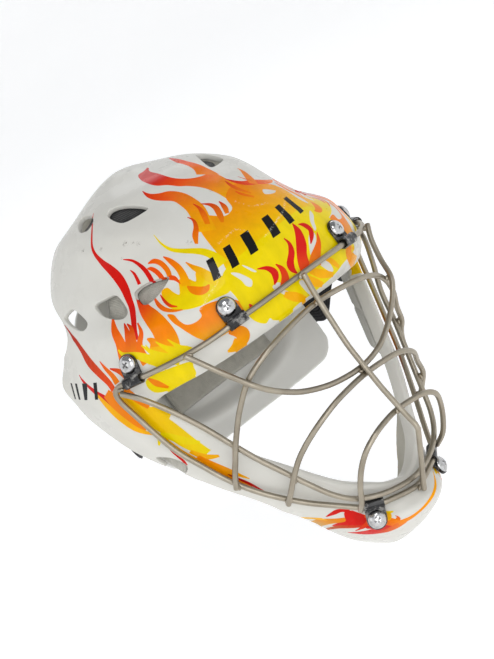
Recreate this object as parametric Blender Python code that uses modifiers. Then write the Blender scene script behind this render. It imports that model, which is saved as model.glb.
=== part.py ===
"""Ice or street hockey goalie mask: moulded shell, welded wire cage, screwed clips, padding and a sprung backplate.

Metres, +Z up. X runs to the wearer's left, -Y is the way the wearer faces. The origin is on the mid-plane at eye
height, midway between the cage and the back of the shell. Lengths in the tables are millimetres.
"""

import math

import bmesh
import bpy
from mathutils import Matrix, Vector

MM = 0.001
GAP = 0.4  # clearance between touching pieces
SHELL_THICKNESS = 3.5
RECESS_DEPTH = 7.5
RIDGE_HEIGHT = 6.0
FLANK_DEPTH = 5.5
FLARE_HEIGHT = 4.0
WIRE_DIAMETER = 3.5
WIRE_STEP = 8.0
CLIP_REACH = 9.5  # wire axis to screw axis
CLIP_WIDTH = 12.5
CLIP_THICKNESS = 1.3
CLIP_EYE_PLAY = 0.9  # room round the wire inside the clip's eye
CLIP_EYE_WALL = 0.75
SCREW_HEAD_RADIUS = 5.8
SCREW_SHANK_RADIUS = 2.0
SCREW_HOLE_RADIUS = 2.4
PLATE_THICKNESS = 3.0
PLATE_HALF_WIDTH = 79.0
PLATE_LOW = -50.0
PLATE_HIGH = 66.0
PLATE_BASE_DEPTH = 27.0  # front face of the plate behind the origin at its lower edge
PLATE_LEAN = 0.42
PLATE_BOW = 7.0
STRAP_WIDTH = 20.0
STRAP_THICKNESS = 1.6
HINGE_POINT = (0.0, 80.0, 73.0)

# Level sections of the shell from the crown down:
# height, half width, front, middle and back along Y, squareness of the front half and of the back half.
STATIONS = (
    (124.5, 0, 34, 34, 34, 2.0, 2.0),
    (121.5, 34, 5, 34, 67, 2.1, 2.1),
    (111, 56, -14, 33, 85, 2.4, 2.4),
    (97, 70, -38, 31, 92, 2.5, 2.5),
    (75, 87, -64, 28, 92, 2.4, 2.4),
    (50, 99, -77, 24, 84, 2.3, 2.4),
    (30, 105, -80, 20, 78, 2.15, 3.0),
    (10, 106, -71, 17, 73, 1.8, 3.0),
    (-23, 101, -77, 10, 64, 1.65, 2.4),
    (-54, 87, -88, -5, 44, 1.6, 2.2),
    (-80, 64, -95, -22, 14, 1.65, 2.0),
    (-93, 50, -92, -36, -4, 1.9, 2.0),
    (-103, 42, -97, -45, -16, 2.0, 2.0),
    (-112, 37, -104, -50, -24, 2.0, 2.0),
    (-126, 26, -89, -53, -34, 2.0, 2.0),
    (-140, 8, -64, -53, -46, 2.0, 2.0),
    (-141.5, 0, -54, -54, -54, 2.0, 2.0),
)
LAST_LEVEL = len(STATIONS) - 1

# Front outline of the face opening, one half from the brow down, as (x, z).
OPENING = ((0, 27), (35, 24), (68, 19), (84, 16.5), (91, 13), (88, 5), (82, -4), (73, -23), (64, -40),
           (53, -55), (46, -64), (37, -75), (27, -84), (14, -90.5), (0, -93))
# Side outline of the neck and back edge, from below the chin up over the ear to the crown, as (y, z).
NECK_EDGE = ((-47, -160), (-46, -141), (-44, -122), (-42, -97), (-37, -70), (-22, -46), (-1, -22), (22, 0),
             (39, 14), (49, 27), (51, 38), (45, 48), (36, 55), (33, 62), (39, 70), (53, 78), (70, 86),
             (88, 94), (110, 101))

# Vent outlines about a point of the shell given as (turn in degrees from the front, level): (forward, up).
VENTS = {
    "crown_front": (-43, 1.75, ((-11, 4), (-9, 10.5), (-1, 9), (13, -1), (12, -6), (-3, -8))),
    "crown_rear": (-87, 1.6, ((-9, 2), (-8, 7), (2, 6.5), (9, 1), (7, -6), (-2, -6))),
    "temple_front": (-51, 3.9, ((-10, 4), (-3, 6), (7, 5.5), (14, 4), (8, -2), (-1, -6.5), (-6, -6), (-10, -1))),
    "temple_middle": (-71.5, 4.05, ((-15, 5), (-6, 8), (3, 8.5), (11, -2), (10, -7), (4, -7.5), (-8, -3))),
    "temple_rear": (-88.5, 4.2, ((-15, 3), (-10, 7), (-4, 8), (9, 0.5), (10.5, -4), (5, -6.5), (-6, -3))),
    "jaw_slot": (-73, 8.2, ((-9, 9), (1, 7), (8, 0), (7.5, -5), (3, -7.5), (-1, -5), (-6, 2))),
}

# The rim wire lies along the shell: (turn, level, height of its axis above the shell), from the temple to the middle.
BROW_ROUTE = ((-73, 5.95, 3.8), (-66, 5.85, 3.8), (-56, 5.75, 3.8), (-45, 5.65, 3.8), (-35, 5.55, 3.8),
              (-25, 5.42, 3.8), (-12, 5.33, 2.8), (0, 5.3, 2.4))
BASE_ROUTE = ((-74, 6.25, 3.8), (-69, 7.0, 3.4), (-65, 7.8, 3.2), (-62.5, 8.3, 3.0), (-61, 8.8, 3.0), (-58.5, 9.3, 3.6),
              (-54, 9.85, 4.5), (-48, 10.4, 4.3), (-40, 11.15, 4.2), (-34, 11.45, 4.6), (-24, 11.68, 3.6), (0, 11.9, 2.8))
# The other wires' axes on the wearer's right, each ending at the mid-plane. Those welded over others come later.
FACE_LOOP = ((-105.6, -16.2, 28.3), (-100.5, -26, 21.5), (-92, -34.5, 8.4), (-82, -42.3, -9),
             (-74.4, -51.6, -26.3), (-67.1, -59.4, -41.7), (-59.7, -67.3, -55.2), (-53.7, -73.8, -66.2),
             (-46.6, -81, -77.7), (-37.7, -87, -86.2), (-25.1, -93, -91.5), (-12, -97, -94), (0, -98.5, -94.8))
UPPER_ARCH = ((-80.6, -42.6, -53), (-78.7, -45.5, -44), (-77.2, -50.5, -35), (-77, -55.3, -28), (-73.5, -60.5, -17),
              (-69.3, -68.7, -3.5), (-60.3, -76, 9.8), (-45, -83, 19), (-23.5, -84.2, 23.5), (0, -84, 25.5))
EYE_WIRE = ((-81, -58.5, 37.8), (-75.6, -62.6, 29.5), (-69.8, -69.9, 19), (-63.7, -79.4, 8.5), (-56.7, -82.8, 0.5),
            (-47, -85.5, -7), (-36, -88.5, -13), (-20, -93.5, -17.5), (0, -96.8, -18.8))
MIDDLE_ARCH = ((-62.8, -58.4, -75), (-61.9, -66.9, -65), (-60.6, -73.1, -57), (-54.5, -80, -46), (-45.5, -91, -34.5),
               (-30.5, -98.5, -26), (-14, -99.3, -23.4), (0, -98.7, -23))
LOWER_ARCH = ((-36.5, -85.4, -95.5), (-38.5, -93, -88), (-39, -99, -77), (-37, -105, -65.5), (-32, -110.5, -56),
              (-22, -113.3, -50), (-10, -111.7, -48.5), (0, -110.5, -48.3))
CENTRE_BAR = ((0, -85.4, 44.6), (0, -86, 38), (0, -88, 26), (0, -90.8, 13), (0, -94.5, -2.7), (0, -99.6, -15.9),
              (0, -102.8, -23.2), (0, -106.8, -32.4), (0, -113, -44.1), (0, -117.2, -51.7), (0, -121.2, -57.8))
CENTRE_BAR_LEG = ((0, -121.8, -61), (0, -116.8, -72.3), (0, -112, -82.8), (0, -107, -93.4), (0, -102.4, -103.4))

# Clips: the wire they hold, the number of its point under the clip, and whether the screw lies above or below it.
CLIPS = {"brow": (BROW_ROUTE, 5, 1), "temple": (BROW_ROUTE, 1, 1), "chin": (BASE_ROUTE, 9, -1)}


def clear_scene():
    for scene_object in list(bpy.data.objects):
        bpy.data.objects.remove(scene_object, do_unlink=True)


def collection(name):
    made = bpy.data.collections.new(name)
    bpy.context.scene.collection.children.link(made)
    return made


def material(name, colour, roughness, metallic=0.0):
    made = bpy.data.materials.new(name)
    made.use_nodes = True
    shader = made.node_tree.nodes["Principled BSDF"]
    shader.inputs["Base Color"].default_value = (*colour, 1.0)
    shader.inputs["Roughness"].default_value = roughness
    shader.inputs["Metallic"].default_value = metallic
    return made


def smooth(points, where):
    """The Catmull-Rom curve through the points, read at a position counted in points."""
    last = len(points) - 1
    index = min(max(int(where), 0), last - 1)
    part = where - index
    rows = [points[min(max(index + step, 0), last)] for step in (-1, 0, 1, 2)]
    return [
        0.5 * (2 * b + (c - a) * part + (2 * a - 5 * b + 4 * c - d) * part**2 + (3 * b - a - 3 * c + d) * part**3)
        for a, b, c, d in zip(*rows)
    ]


def smooth_route(points, step, cyclic=False):
    """Points about a step apart on the smooth curve through the given ones."""
    points = list(points)
    if cyclic:
        points = points[-2:] + points + points[:3]
    fine = [Vector(smooth(points, i / 20)) for i in range(20 * (len(points) - 1) + 1)]
    if cyclic:
        fine = fine[40:-40]
    lengths = [0.0]
    for before, after in zip(fine, fine[1:]):
        lengths.append(lengths[-1] + (after - before).length)
    count = max(2, round(lengths[-1] / step))
    route, index = [], 0
    for i in range(count + 1):
        target = lengths[-1] * i / count
        while index < len(fine) - 2 and lengths[index + 1] < target:
            index += 1
        span = lengths[index + 1] - lengths[index]
        part = (target - lengths[index]) / span if span else 0.0
        route.append(fine[index].lerp(fine[index + 1], part))
    return route[:-1] if cyclic else route


def on_plain(turn, level):
    """A point of the plain shell of level sections, before its side recess and crown ridge."""
    height, half, front, middle, back, front_square, back_square = smooth(STATIONS, level)
    across, along = math.sin(math.radians(turn)), math.cos(math.radians(turn))
    square = front_square if along > 0 else back_square
    reach = middle - front if along > 0 else back - middle
    x = max(half, 0.0) * math.copysign(abs(across) ** (2 / square), across)
    y = middle - reach * math.copysign(abs(along) ** (2 / square), along)
    return Vector((x, y, height))


def plain_outward(turn, level):
    across = on_plain(turn + 0.5, level) - on_plain(turn - 0.5, level)
    down = on_plain(turn, min(level + 0.02, len(STATIONS) - 1)) - on_plain(turn, max(level - 0.02, 0))
    found = down.cross(across)
    if found.length < 1e-4:
        return Vector((0, 0, 1 if level < 8 else -1))
    return found.normalized()


def eased(value, low, high):
    part = min(max((value - low) / (high - low), 0.0), 1.0)
    return part * part * (3 - 2 * part)


def rise(turn, level, point):
    """How far the skin stands out from the plain shell: a recess along each temple, a ridge over the crown,
    a flatter flank on each side behind it and a flare of the edge behind each ear."""
    x, y, z = abs(point.x), point.y, point.z
    side = math.exp(-(((abs(turn) - 58) / 28) ** 2))
    recess = side * eased(level, 2.3, 3.75) * (1 - eased(level, 4.0, 4.75))
    ridge = math.exp(-((x / 24) ** 2) - ((y - 45) / 17) ** 2) * eased(z, 95, 118)
    flank = math.exp(-(((x - 33) / 20) ** 2) - ((y - 73) / 22) ** 2 - ((z - 114) / 13) ** 2)
    flare = math.exp(-(((abs(turn) - 116) / 9) ** 2) - ((level - 5.95) / 0.45) ** 2)
    return RIDGE_HEIGHT * ridge + FLARE_HEIGHT * flare - FLANK_DEPTH * flank - RECESS_DEPTH * recess


def on_shell(turn, level):
    """A point of the shell's outer face: turn in degrees from the front towards the wearer's left."""
    turn = (turn + 180) % 360 - 180
    point = on_plain(turn, level)
    return point + plain_outward(turn, level) * rise(turn, level, point)


def outward(turn, level):
    across = on_shell(turn + 0.5, level) - on_shell(turn - 0.5, level)
    down = on_shell(turn, level + 0.02) - on_shell(turn, level - 0.02)
    return down.cross(across).normalized()


def off_shell(turn, level, height):
    return on_shell(turn, level) + outward(turn, level) * height


def mirrored(points):
    """The route continued over the mid-plane, where it ends, to its mirror image."""
    return list(points) + [(-x, y, z) for x, y, z in reversed(points[:-1])]


def add(name, mesh, group, finish=None, smooth_angle=35):
    made = bpy.data.objects.new(name, mesh)
    group.objects.link(made)
    if finish:
        mesh.materials.append(finish)
        mesh.shade_smooth()
        mesh.set_sharp_from_angle(angle=math.radians(smooth_angle))
    else:
        made.hide_render = True
        made.display_type = "WIRE"
    return made


def mesh_of(source, turn_faces=True):
    """A welded mesh of a curve or a modified object, in world space; the source is removed."""
    bpy.context.view_layer.update()
    evaluated = source.evaluated_get(bpy.context.evaluated_depsgraph_get())
    mesh = bpy.data.meshes.new_from_object(evaluated)
    mesh.transform(source.matrix_world)
    shape = bmesh.new()
    shape.from_mesh(mesh)
    bmesh.ops.remove_doubles(shape, verts=shape.verts, dist=1e-6)
    if turn_faces:
        bmesh.ops.recalc_face_normals(shape, faces=shape.faces)
    shape.to_mesh(mesh)
    shape.free()
    bpy.data.objects.remove(source, do_unlink=True)
    return mesh


def cut(target, cutter, operation="DIFFERENCE"):
    modifier = target.modifiers.new(cutter.name, "BOOLEAN")
    modifier.operation = operation
    modifier.object = cutter


def sheet(name, columns, rows, place, group):
    """A grid bent into shape: place takes two shares from 0 to 1 and gives a point in millimetres."""
    shape = bmesh.new()
    bmesh.ops.create_grid(shape, x_segments=columns, y_segments=rows, size=0.5)
    for vertex in shape.verts:
        vertex.co = Vector(place(vertex.co.x + 0.5, vertex.co.y + 0.5)) * MM
    bmesh.ops.remove_doubles(shape, verts=shape.verts, dist=1e-6)
    mesh = bpy.data.meshes.new(name)
    shape.to_mesh(mesh)
    shape.free()
    made = bpy.data.objects.new(name, mesh)
    group.objects.link(made)
    return made


def thick_sheet(name, columns, rows, place, thickness, offset, finish, group, hollow=False):
    """A sheet given thickness; a hollow one closes on itself and keeps its inner face turned inward."""
    source = sheet(name + "_face", columns, rows, place, group)
    solid = source.modifiers.new("thickness", "SOLIDIFY")
    solid.thickness = thickness * MM
    solid.offset = offset
    solid.use_even_offset = True
    return add(name, mesh_of(source, not hollow), group, finish)


def prism(name, outline, low, high, frame, group, finish=None):
    """The outline, in the frame's X and Y in millimetres, drawn out along its Z from low to high."""
    curve = bpy.data.curves.new(name, "CURVE")
    curve.dimensions = "2D"
    curve.fill_mode = "BOTH"
    curve.extrude = (high - low) / 2 * MM
    for points in outline:
        spline = curve.splines.new("POLY")
        spline.points.add(len(points) - 1)
        for spline_point, (x, y) in zip(spline.points, points):
            spline_point.co = (x * MM, y * MM, 0, 1)
        spline.use_cyclic_u = True
    source = bpy.data.objects.new(name + "_outline", curve)
    group.objects.link(source)
    source.matrix_world = frame @ Matrix.Translation((0, 0, (high + low) / 2 * MM))
    return add(name, mesh_of(source), group, finish)


def rounded(points, per_side=3):
    """A closed outline through the points, smoothed."""
    points = list(points)
    looped = points[-1:] + points + points[:2]
    return [smooth(looped, 1 + i / per_side) for i in range(per_side * len(points))]


def frame_at(origin, x_axis, z_axis):
    """A frame at a point in millimetres, its Z along z_axis and its X as near x_axis as that allows."""
    z_axis = z_axis.normalized()
    y_axis = z_axis.cross(x_axis).normalized()
    rotation = Matrix((y_axis.cross(z_axis), y_axis, z_axis)).transposed()
    return Matrix.Translation(Vector(origin) * MM) @ rotation.to_4x4()


def shell_frame(turn, level):
    """Origin on the shell, Z outward, X forward along the level line."""
    forward = on_shell(turn * 0.98, level) - on_shell(turn, level)
    return frame_at(on_shell(turn, level), forward, outward(turn, level))


def turned(name, profile, frame, finish, group, steps=20):
    """A profile of (radius, height) in millimetres, top to bottom down the outer side, turned about Z."""
    mesh = bpy.data.meshes.new(name)
    shape = bmesh.new()
    points = [shape.verts.new((radius * MM, 0, height * MM)) for radius, height in profile]
    for before, after in zip(points, points[1:]):
        shape.edges.new((before, after))
    shape.to_mesh(mesh)
    shape.free()
    source = bpy.data.objects.new(name + "_profile", mesh)
    group.objects.link(source)
    screw = source.modifiers.new("turn", "SCREW")
    screw.axis = "Z"
    screw.steps = screw.render_steps = steps
    screw.use_merge_vertices = True
    screw.merge_threshold = 1e-5
    source.matrix_world = frame
    return add(name, mesh_of(source), group, finish)


def wire(name, route, finish, group, cyclic=False, more=()):
    """A round wire along the smooth route, going on round a sharp bend along the second one if there is one."""
    curve = bpy.data.curves.new(name, "CURVE")
    curve.dimensions = "3D"
    curve.bevel_depth = WIRE_DIAMETER / 2 * MM
    curve.bevel_resolution = 2
    curve.use_fill_caps = True
    points = smooth_route(route, WIRE_STEP, cyclic)
    if more:
        points += smooth_route(more, WIRE_STEP)
    spline = curve.splines.new("POLY")
    spline.points.add(len(points) - 1)
    for spline_point, point in zip(spline.points, points):
        spline_point.co = (*(point * MM), 1)
    spline.use_cyclic_u = cyclic
    curve.materials.append(finish)
    made = bpy.data.objects.new(name, curve)
    group.objects.link(made)
    return made


def make_shell(finish, parts, cutters):
    def place(across, down):
        return on_shell(360 * across - 180, LAST_LEVEL * down)

    shell = thick_sheet("shell", 60, 41, place, SHELL_THICKNESS, 1, finish, parts, True)
    facing = Matrix.Rotation(math.radians(90), 4, "X")  # X stays, Y becomes Z, Z becomes -Y
    half = [(x, z) for x, z in OPENING]
    opening = smooth_outline(half) + [(-x, z) for x, z in reversed(smooth_outline(half)[1:-1])]
    cut(shell, prism("opening_cutter", [opening], -6, 200, facing, cutters))
    sideways = Matrix(((0, 0, 1, 0), (1, 0, 0, 0), (0, 1, 0, 0), (0, 0, 0, 1)))
    edge = smooth_outline(NECK_EDGE) + [(200, 101), (200, -160)]
    cut(shell, prism("neck_cutter", [edge], -200, 200, sideways, cutters))
    for name, (turn, level, outline) in VENTS.items():
        for side, sign in (("right", 1), ("left", -1)):
            shape = [(x, y * sign) for x, y in rounded(outline)]
            frame = shell_frame(turn * sign, level)
            cut(shell, prism(f"{name}_{side}_cutter", [shape], -14, 14, frame, cutters))
    return shell


def smooth_outline(points):
    points = list(points)
    return [tuple(smooth(points, i / 3)) for i in range(3 * (len(points) - 1) + 1)]


def make_cage(finish, parts):
    brow = [tuple(off_shell(*place)) for place in BROW_ROUTE]
    base = [tuple(off_shell(*place)) for place in BASE_ROUTE]
    held = CLIPS["chin"][1]
    here, line = Vector(base[held]), (Vector(base[held + 1]) - Vector(base[held - 1])).normalized()
    base[held - 1:held + 2] = [tuple(here + line * step) for step in (-8, -4, 0, 4, 8)]  # straight in the clip
    ring = mirrored(brow) + [(-x, y, z) for x, y, z in base] + list(reversed(base[:-1]))
    wire("perimeter_wire", ring, finish, parts, cyclic=True)
    wire("face_loop_wire", mirrored(FACE_LOOP), finish, parts)
    wire("eye_wire", mirrored(EYE_WIRE), finish, parts)
    wire("upper_arch_wire", mirrored(UPPER_ARCH), finish, parts)
    wire("middle_arch_wire", mirrored(MIDDLE_ARCH), finish, parts)
    wire("lower_arch_wire", mirrored(LOWER_ARCH), finish, parts)
    wire("centre_bar_wire", CENTRE_BAR, finish, parts, more=CENTRE_BAR_LEG)


def settle(point, turn, level):
    """The turn and level of the shell's point nearest to this one, from a guess close by."""
    step = 1.0
    while step > 0.002:
        places = [(turn, level), (turn + 4 * step, level), (turn - 4 * step, level),
                  (turn, level + 0.2 * step), (turn, level - 0.2 * step)]
        best = min(places, key=lambda place: (on_shell(*place) - point).length)
        if best == (turn, level):
            step /= 2
        turn, level = best
    return turn, level


def clip_frame(route, index, direction, side):
    """A frame under the clip's bar at the screw, Z outward and Y away from the wire; the wire's axis; the nut's top."""
    wire_point = off_shell(*route[index])
    wire_line = off_shell(*route[index + 1]) - off_shell(*route[index - 1])
    turn, level = route[index][:2]
    up = outward(turn, level).cross(wire_line).normalized()
    up = up if up.z * direction > 0 else -up
    place = settle(on_shell(turn, level) + up * CLIP_REACH, turn, level)
    screw_point, normal = on_shell(*place), outward(*place)
    below = [on_shell(place[0] + 3 * i, place[1] + 0.08 * j) for i in range(-8, 9) for j in range(-12, 13)]
    depth = -1.35 * SHELL_THICKNESS
    inside = [off_shell(place[0] + 2 * i, place[1] + 0.06 * j, depth) for i in range(-6, 7) for j in range(-8, 9)]
    if side > 0:
        for vector in [wire_point, wire_line, screw_point, normal] + below + inside:
            vector.x = -vector.x
    across = wire_line.normalized()
    if across.dot((screw_point - wire_point).cross(normal)) < 0:
        across.negate()
    normal = (normal - across * normal.dot(across)).normalized()
    to_frame = frame_at(screw_point, across, normal).inverted()
    near_bar = [to_frame @ (point * MM) / MM for point in below]
    lift = max(point.z for point in near_bar if abs(point.x) < CLIP_WIDTH / 2 and abs(point.y) < CLIP_WIDTH / 2)
    near_nut = [to_frame @ (point * MM) / MM for point in inside]
    nut_top = min(point.z for point in near_nut if point.xy.length < 7.5)
    frame = frame_at(screw_point + normal * lift, across, normal)
    return frame, (frame.inverted() @ (wire_point * MM)) / MM, nut_top - lift - 4 * GAP


def clip_outline(wire_y, wire_z):
    """Side view: a bar on the shell that ends in an eye round the wire, and the eye's hole."""
    hole = WIRE_DIAMETER / 2 + CLIP_EYE_PLAY
    outer = hole + CLIP_EYE_WALL
    base, top = GAP, GAP + CLIP_THICKNESS
    start = math.asin((top - wire_z) / outer)
    end = math.asin(max(-0.98, (base - wire_z) / outer))
    sweep = 2 * math.pi - (start - end)
    outline = [(CLIP_WIDTH, base), (CLIP_WIDTH, top)]
    for i in range(17):
        angle = start + sweep * i / 16
        outline.append((wire_y + outer * math.cos(angle), wire_z + outer * math.sin(angle)))
    eye = [(wire_y + hole * math.cos(math.pi * i / 8), wire_z + hole * math.sin(math.pi * i / 8)) for i in range(16)]
    return [outline, eye]


def make_clips(clip_finish, screw_finish, shell, parts, cutters):
    side_view = Matrix(((0, 0, 1, 0), (1, 0, 0, 0), (0, 1, 0, 0), (0, 0, 0, 1)))
    half = CLIP_WIDTH / 2
    plan = [(half * math.cos(math.pi * i / 12), half * math.sin(math.pi * i / 12)) for i in range(13)]
    plan += [(-half, -20), (half, -20)]
    head_base = GAP + CLIP_THICKNESS + GAP
    drill = [(0, 20), (SCREW_HOLE_RADIUS, 20), (SCREW_HOLE_RADIUS, -20), (0, -20)]
    for place, (route, index, direction) in CLIPS.items():
        for side, sign in (("right", -1), ("left", 1)):
            label = f"{place}_{side}"
            frame, wire_point, nut_top = clip_frame(route, index, direction, sign)
            head = [(0, head_base + 3.0), (2.4, head_base + 2.8), (4.2, head_base + 2.1), (5.4, head_base + 1.0),
                    (SCREW_HEAD_RADIUS, head_base), (SCREW_SHANK_RADIUS, head_base),
                    (SCREW_SHANK_RADIUS, nut_top - 4.2), (0, nut_top - 4.2)]
            nut = [(SCREW_HOLE_RADIUS, nut_top), (5.0, nut_top), (5.0, nut_top - 1.2), (3.8, nut_top - 1.2),
                   (3.8, nut_top - 3.6), (SCREW_HOLE_RADIUS, nut_top - 3.6), (SCREW_HOLE_RADIUS, nut_top)]
            outline = clip_outline(wire_point.y, wire_point.z)
            body = prism(f"clip_{label}", outline, -half, half, frame @ side_view, parts, clip_finish)
            cut(body, prism(f"clip_plan_{label}", [plan], -6, 15, frame, cutters), "INTERSECT")
            hole = turned(f"screw_hole_{label}", drill, frame, None, cutters)
            cut(body, hole)
            cut(shell, hole)
            turned(f"screw_{label}", head, frame, screw_finish, parts, 16)
            turned(f"nut_{label}", nut, frame, screw_finish, parts, 12)


def make_pads(finish, dark_finish, parts):
    def patch(turns, levels, depth):
        def place(across, down):
            turn = turns[0] + (turns[1] - turns[0]) * across
            level = levels[0] + (levels[1] - levels[0]) * down
            return off_shell(turn, level, -depth)

        return place

    under = SHELL_THICKNESS + 2 * GAP
    thick_sheet("forehead_pad", 22, 7, patch((-78, 78), (2.1, 4.48), under), 9, 1, finish, parts)
    thick_sheet("crown_pad", 16, 4, patch((-100, 100), (0.9, 1.9), under), 9, 1, dark_finish, parts)
    for side, sign in (("right", -1), ("left", 1)):
        turns = (60, 79) if sign > 0 else (-79, -60)
        thick_sheet(f"cheek_pad_{side}", 6, 8, patch(turns, (7.1, 8.9), under), 6, 1, finish, parts)
        turns = (73, 86) if sign > 0 else (-86, -73)
        thick_sheet(f"temple_pad_{side}", 4, 3, patch(turns, (4.74, 5.6), under), 8, 1, finish, parts)


def plate_depth(x, z):
    """How far back the front face of the backplate lies: leaning, bowed round the head and dished."""
    lean = PLATE_BASE_DEPTH + PLATE_LEAN * (z - PLATE_LOW) - PLATE_BOW * (x / PLATE_HALF_WIDTH) ** 2
    reach = (abs(x) / 62) ** 2.6 + (abs(z - 5) / 38) ** 2.6
    return lean + 7 * min(max((1.25 - reach) / 0.45, 0.0), 1.0)


def make_backplate(finish, pad_finish, strap_finish, metal_finish, parts, cutters):
    facing = Matrix.Rotation(math.radians(90), 4, "X")

    def place(across, up):
        x = (PLATE_HALF_WIDTH + 2) * (2 * across - 1)
        z = PLATE_LOW - 4 + (PLATE_HIGH - PLATE_LOW + 6) * up
        return (x, plate_depth(x, z), z)

    def pad_place(across, up):
        x, z = 88 * across - 44, 58 * up - 24
        return (x, plate_depth(x, z) - 4 * GAP, z)

    plate = thick_sheet("backplate", 26, 22, place, PLATE_THICKNESS, -1, finish, parts)
    corner = [(79, -30), (77, -40), (70, -46.5), (60, -48.5), (30, -50.5)]
    low = corner + [(-x, z) for x, z in reversed(corner)]
    top = [(-79, 15), (-74, 45), (-62, 60), (-40, 66)]
    outline = low + top + [(-x, z) for x, z in reversed(top)]
    cut(plate, prism("backplate_outline", [rounded(outline, 2)], -150, 0, facing, cutters), "INTERSECT")
    thick_sheet("backplate_pad", 14, 8, pad_place, 6, 1, pad_finish, parts)
    make_straps(strap_finish, metal_finish, parts)


def strap(name, route, start_axis, end_axis, finish, parts):
    """A flat elastic band along its middle line in millimetres, its width turning from one axis to the other."""
    points = smooth_route(route, 6)
    last = len(points) - 1

    def place(across, along):
        index = min(round(along * last), last)
        share = min(max(1.6 * index / last - 0.3, 0.0), 1.0)
        width_axis = Vector(start_axis).normalized().lerp(Vector(end_axis).normalized(), share).normalized()
        return points[index] + width_axis * STRAP_WIDTH * (across - 0.5)

    thick_sheet(name, 1, last, place, STRAP_THICKNESS, 0, finish, parts)


def make_straps(strap_finish, metal_finish, parts):
    """Two bands on each side and one at the top, each held by a snap at the shell and one at the plate."""
    snap = [(0, 2.2), (3.5, 2.0), (5.5, 1.0), (6.0, 0), (0, 0)]
    plate_axis = Vector((0, PLATE_LEAN, 1))
    behind_plate = (PLATE_THICKNESS + STRAP_THICKNESS / 2 + GAP) * plate_axis.length + 0.7
    in_shell = SHELL_THICKNESS + STRAP_THICKNESS / 2 + 1.3
    snap_lift = STRAP_THICKNESS / 2 + GAP
    for side, sign in (("right", -1), ("left", 1)):
        for band, turn, level, plate_z in (("upper", 95, 5.6, 32), ("lower", 87, 7.25, -18)):
            ends = [off_shell(sign * (turn + step), level, -in_shell - 0.6) for step in (-7, 0, 6)]
            down = on_shell(sign * turn, level + 0.1) - on_shell(sign * turn, level - 0.1)
            lift = (0.6, -1.2) if band == "upper" else (0.2, -0.8)
            side_run = [(sign * x, plate_depth(min(x, 79), plate_z) + behind_plate + rise, plate_z)
                        for x, rise in ((89, lift[1] - 5), (82, lift[1] + 0.6), (74, 0.1), (67.5, lift[0]))]
            route = [tuple(point) for point in ends] + side_run
            strap(f"strap_{band}_{side}", route, -down, plate_axis, strap_finish, parts)
            at_shell = off_shell(sign * turn, level, -in_shell - snap_lift - 1.0)
            inward = -outward(sign * turn, level)
            frame = frame_at(at_shell, Vector((0, 1, 0)), inward)
            turned(f"shell_snap_{band}_{side}", snap, frame, metal_finish, parts, 12)
            rearward = Vector((0.17 * sign, 1, -PLATE_LEAN)).normalized()
            at_plate = Vector((sign * 73, plate_depth(73, plate_z) + behind_plate, plate_z))
            frame = frame_at(at_plate + rearward * (snap_lift + 0.6), Vector((1, 0, 0)), rearward)
            turned(f"plate_snap_{band}_{side}", snap, frame, metal_finish, parts, 12)
    behind = [(0, plate_depth(0, z) + behind_plate, z) for z in (64, 56, 47)]
    ends = [tuple(off_shell(180, level, -in_shell)) for level in (2.1, 2.5, 2.9)]
    strap("strap_top", ends + [(0, 83.5, 88), (0, 81.5, 76)] + behind, (1, 0, 0), (1, 0, 0), strap_finish, parts)
    frame = frame_at(off_shell(180, 2.5, -in_shell - snap_lift - 2.0), Vector((1, 0, 0)), -outward(180, 2.5))
    turned("shell_snap_top", snap, frame, metal_finish, parts, 12)
    rearward = Vector((0, 1, -PLATE_LEAN)).normalized()
    at_plate = Vector((0, plate_depth(0, 56) + behind_plate, 56)) + rearward * (snap_lift + 0.3)
    turned("plate_snap_top", snap, frame_at(at_plate, Vector((1, 0, 0)), rearward), metal_finish, parts, 12)


def hang_backplate():
    """The backplate and what rides on it turn about an empty on the hinge axis."""
    hinge = bpy.data.objects.new("backplate_hinge", None)
    bpy.context.scene.collection.objects.link(hinge)
    hinge.location = Vector(HINGE_POINT) * MM
    bpy.context.view_layer.update()
    for made in list(bpy.data.objects):
        if made.name.startswith(("backplate", "plate_snap")) and made is not hinge and not made.hide_render:
            made.parent = hinge
            made.matrix_parent_inverse = hinge.matrix_world.inverted()


def main():
    clear_scene()
    parts = collection("goalie_mask")
    cutters = collection("cutters")
    cutters.hide_render = True
    white = material("white_shell", (0.78, 0.76, 0.71), 0.25)
    steel = material("cage_steel", (0.45, 0.40, 0.32), 0.32, 1.0)
    black = material("black_clip", (0.01, 0.01, 0.01), 0.25)
    zinc = material("zinc_screw", (0.6, 0.6, 0.6), 0.2, 1.0)
    grey_foam = material("grey_foam", (0.42, 0.41, 0.36), 0.8)
    dark_foam = material("dark_foam", (0.02, 0.02, 0.02), 0.9)
    elastic = material("black_elastic", (0.015, 0.015, 0.015), 0.9)
    shell = make_shell(white, parts, cutters)
    make_cage(steel, parts)
    make_clips(black, zinc, shell, parts, cutters)
    make_pads(grey_foam, dark_foam, parts)
    make_backplate(white, grey_foam, elastic, zinc, parts, cutters)
    hang_backplate()


main()
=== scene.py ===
"""Looks of the goalie mask: painted shell, wire cage, clips, screws, liner, backplate and straps.

Everything is in metres in the part's frame: X to the wearer's left, -Y the way the wearer faces, +Z up.
Lengths in the tables are millimetres. "turn" is degrees round the shell from the front towards the wearer's
left and "level" counts the shell's level sections from the crown down.
"""

import math
import bmesh
import bpy
import numpy as np
from mathutils import Matrix, Vector, geometry, noise


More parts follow.
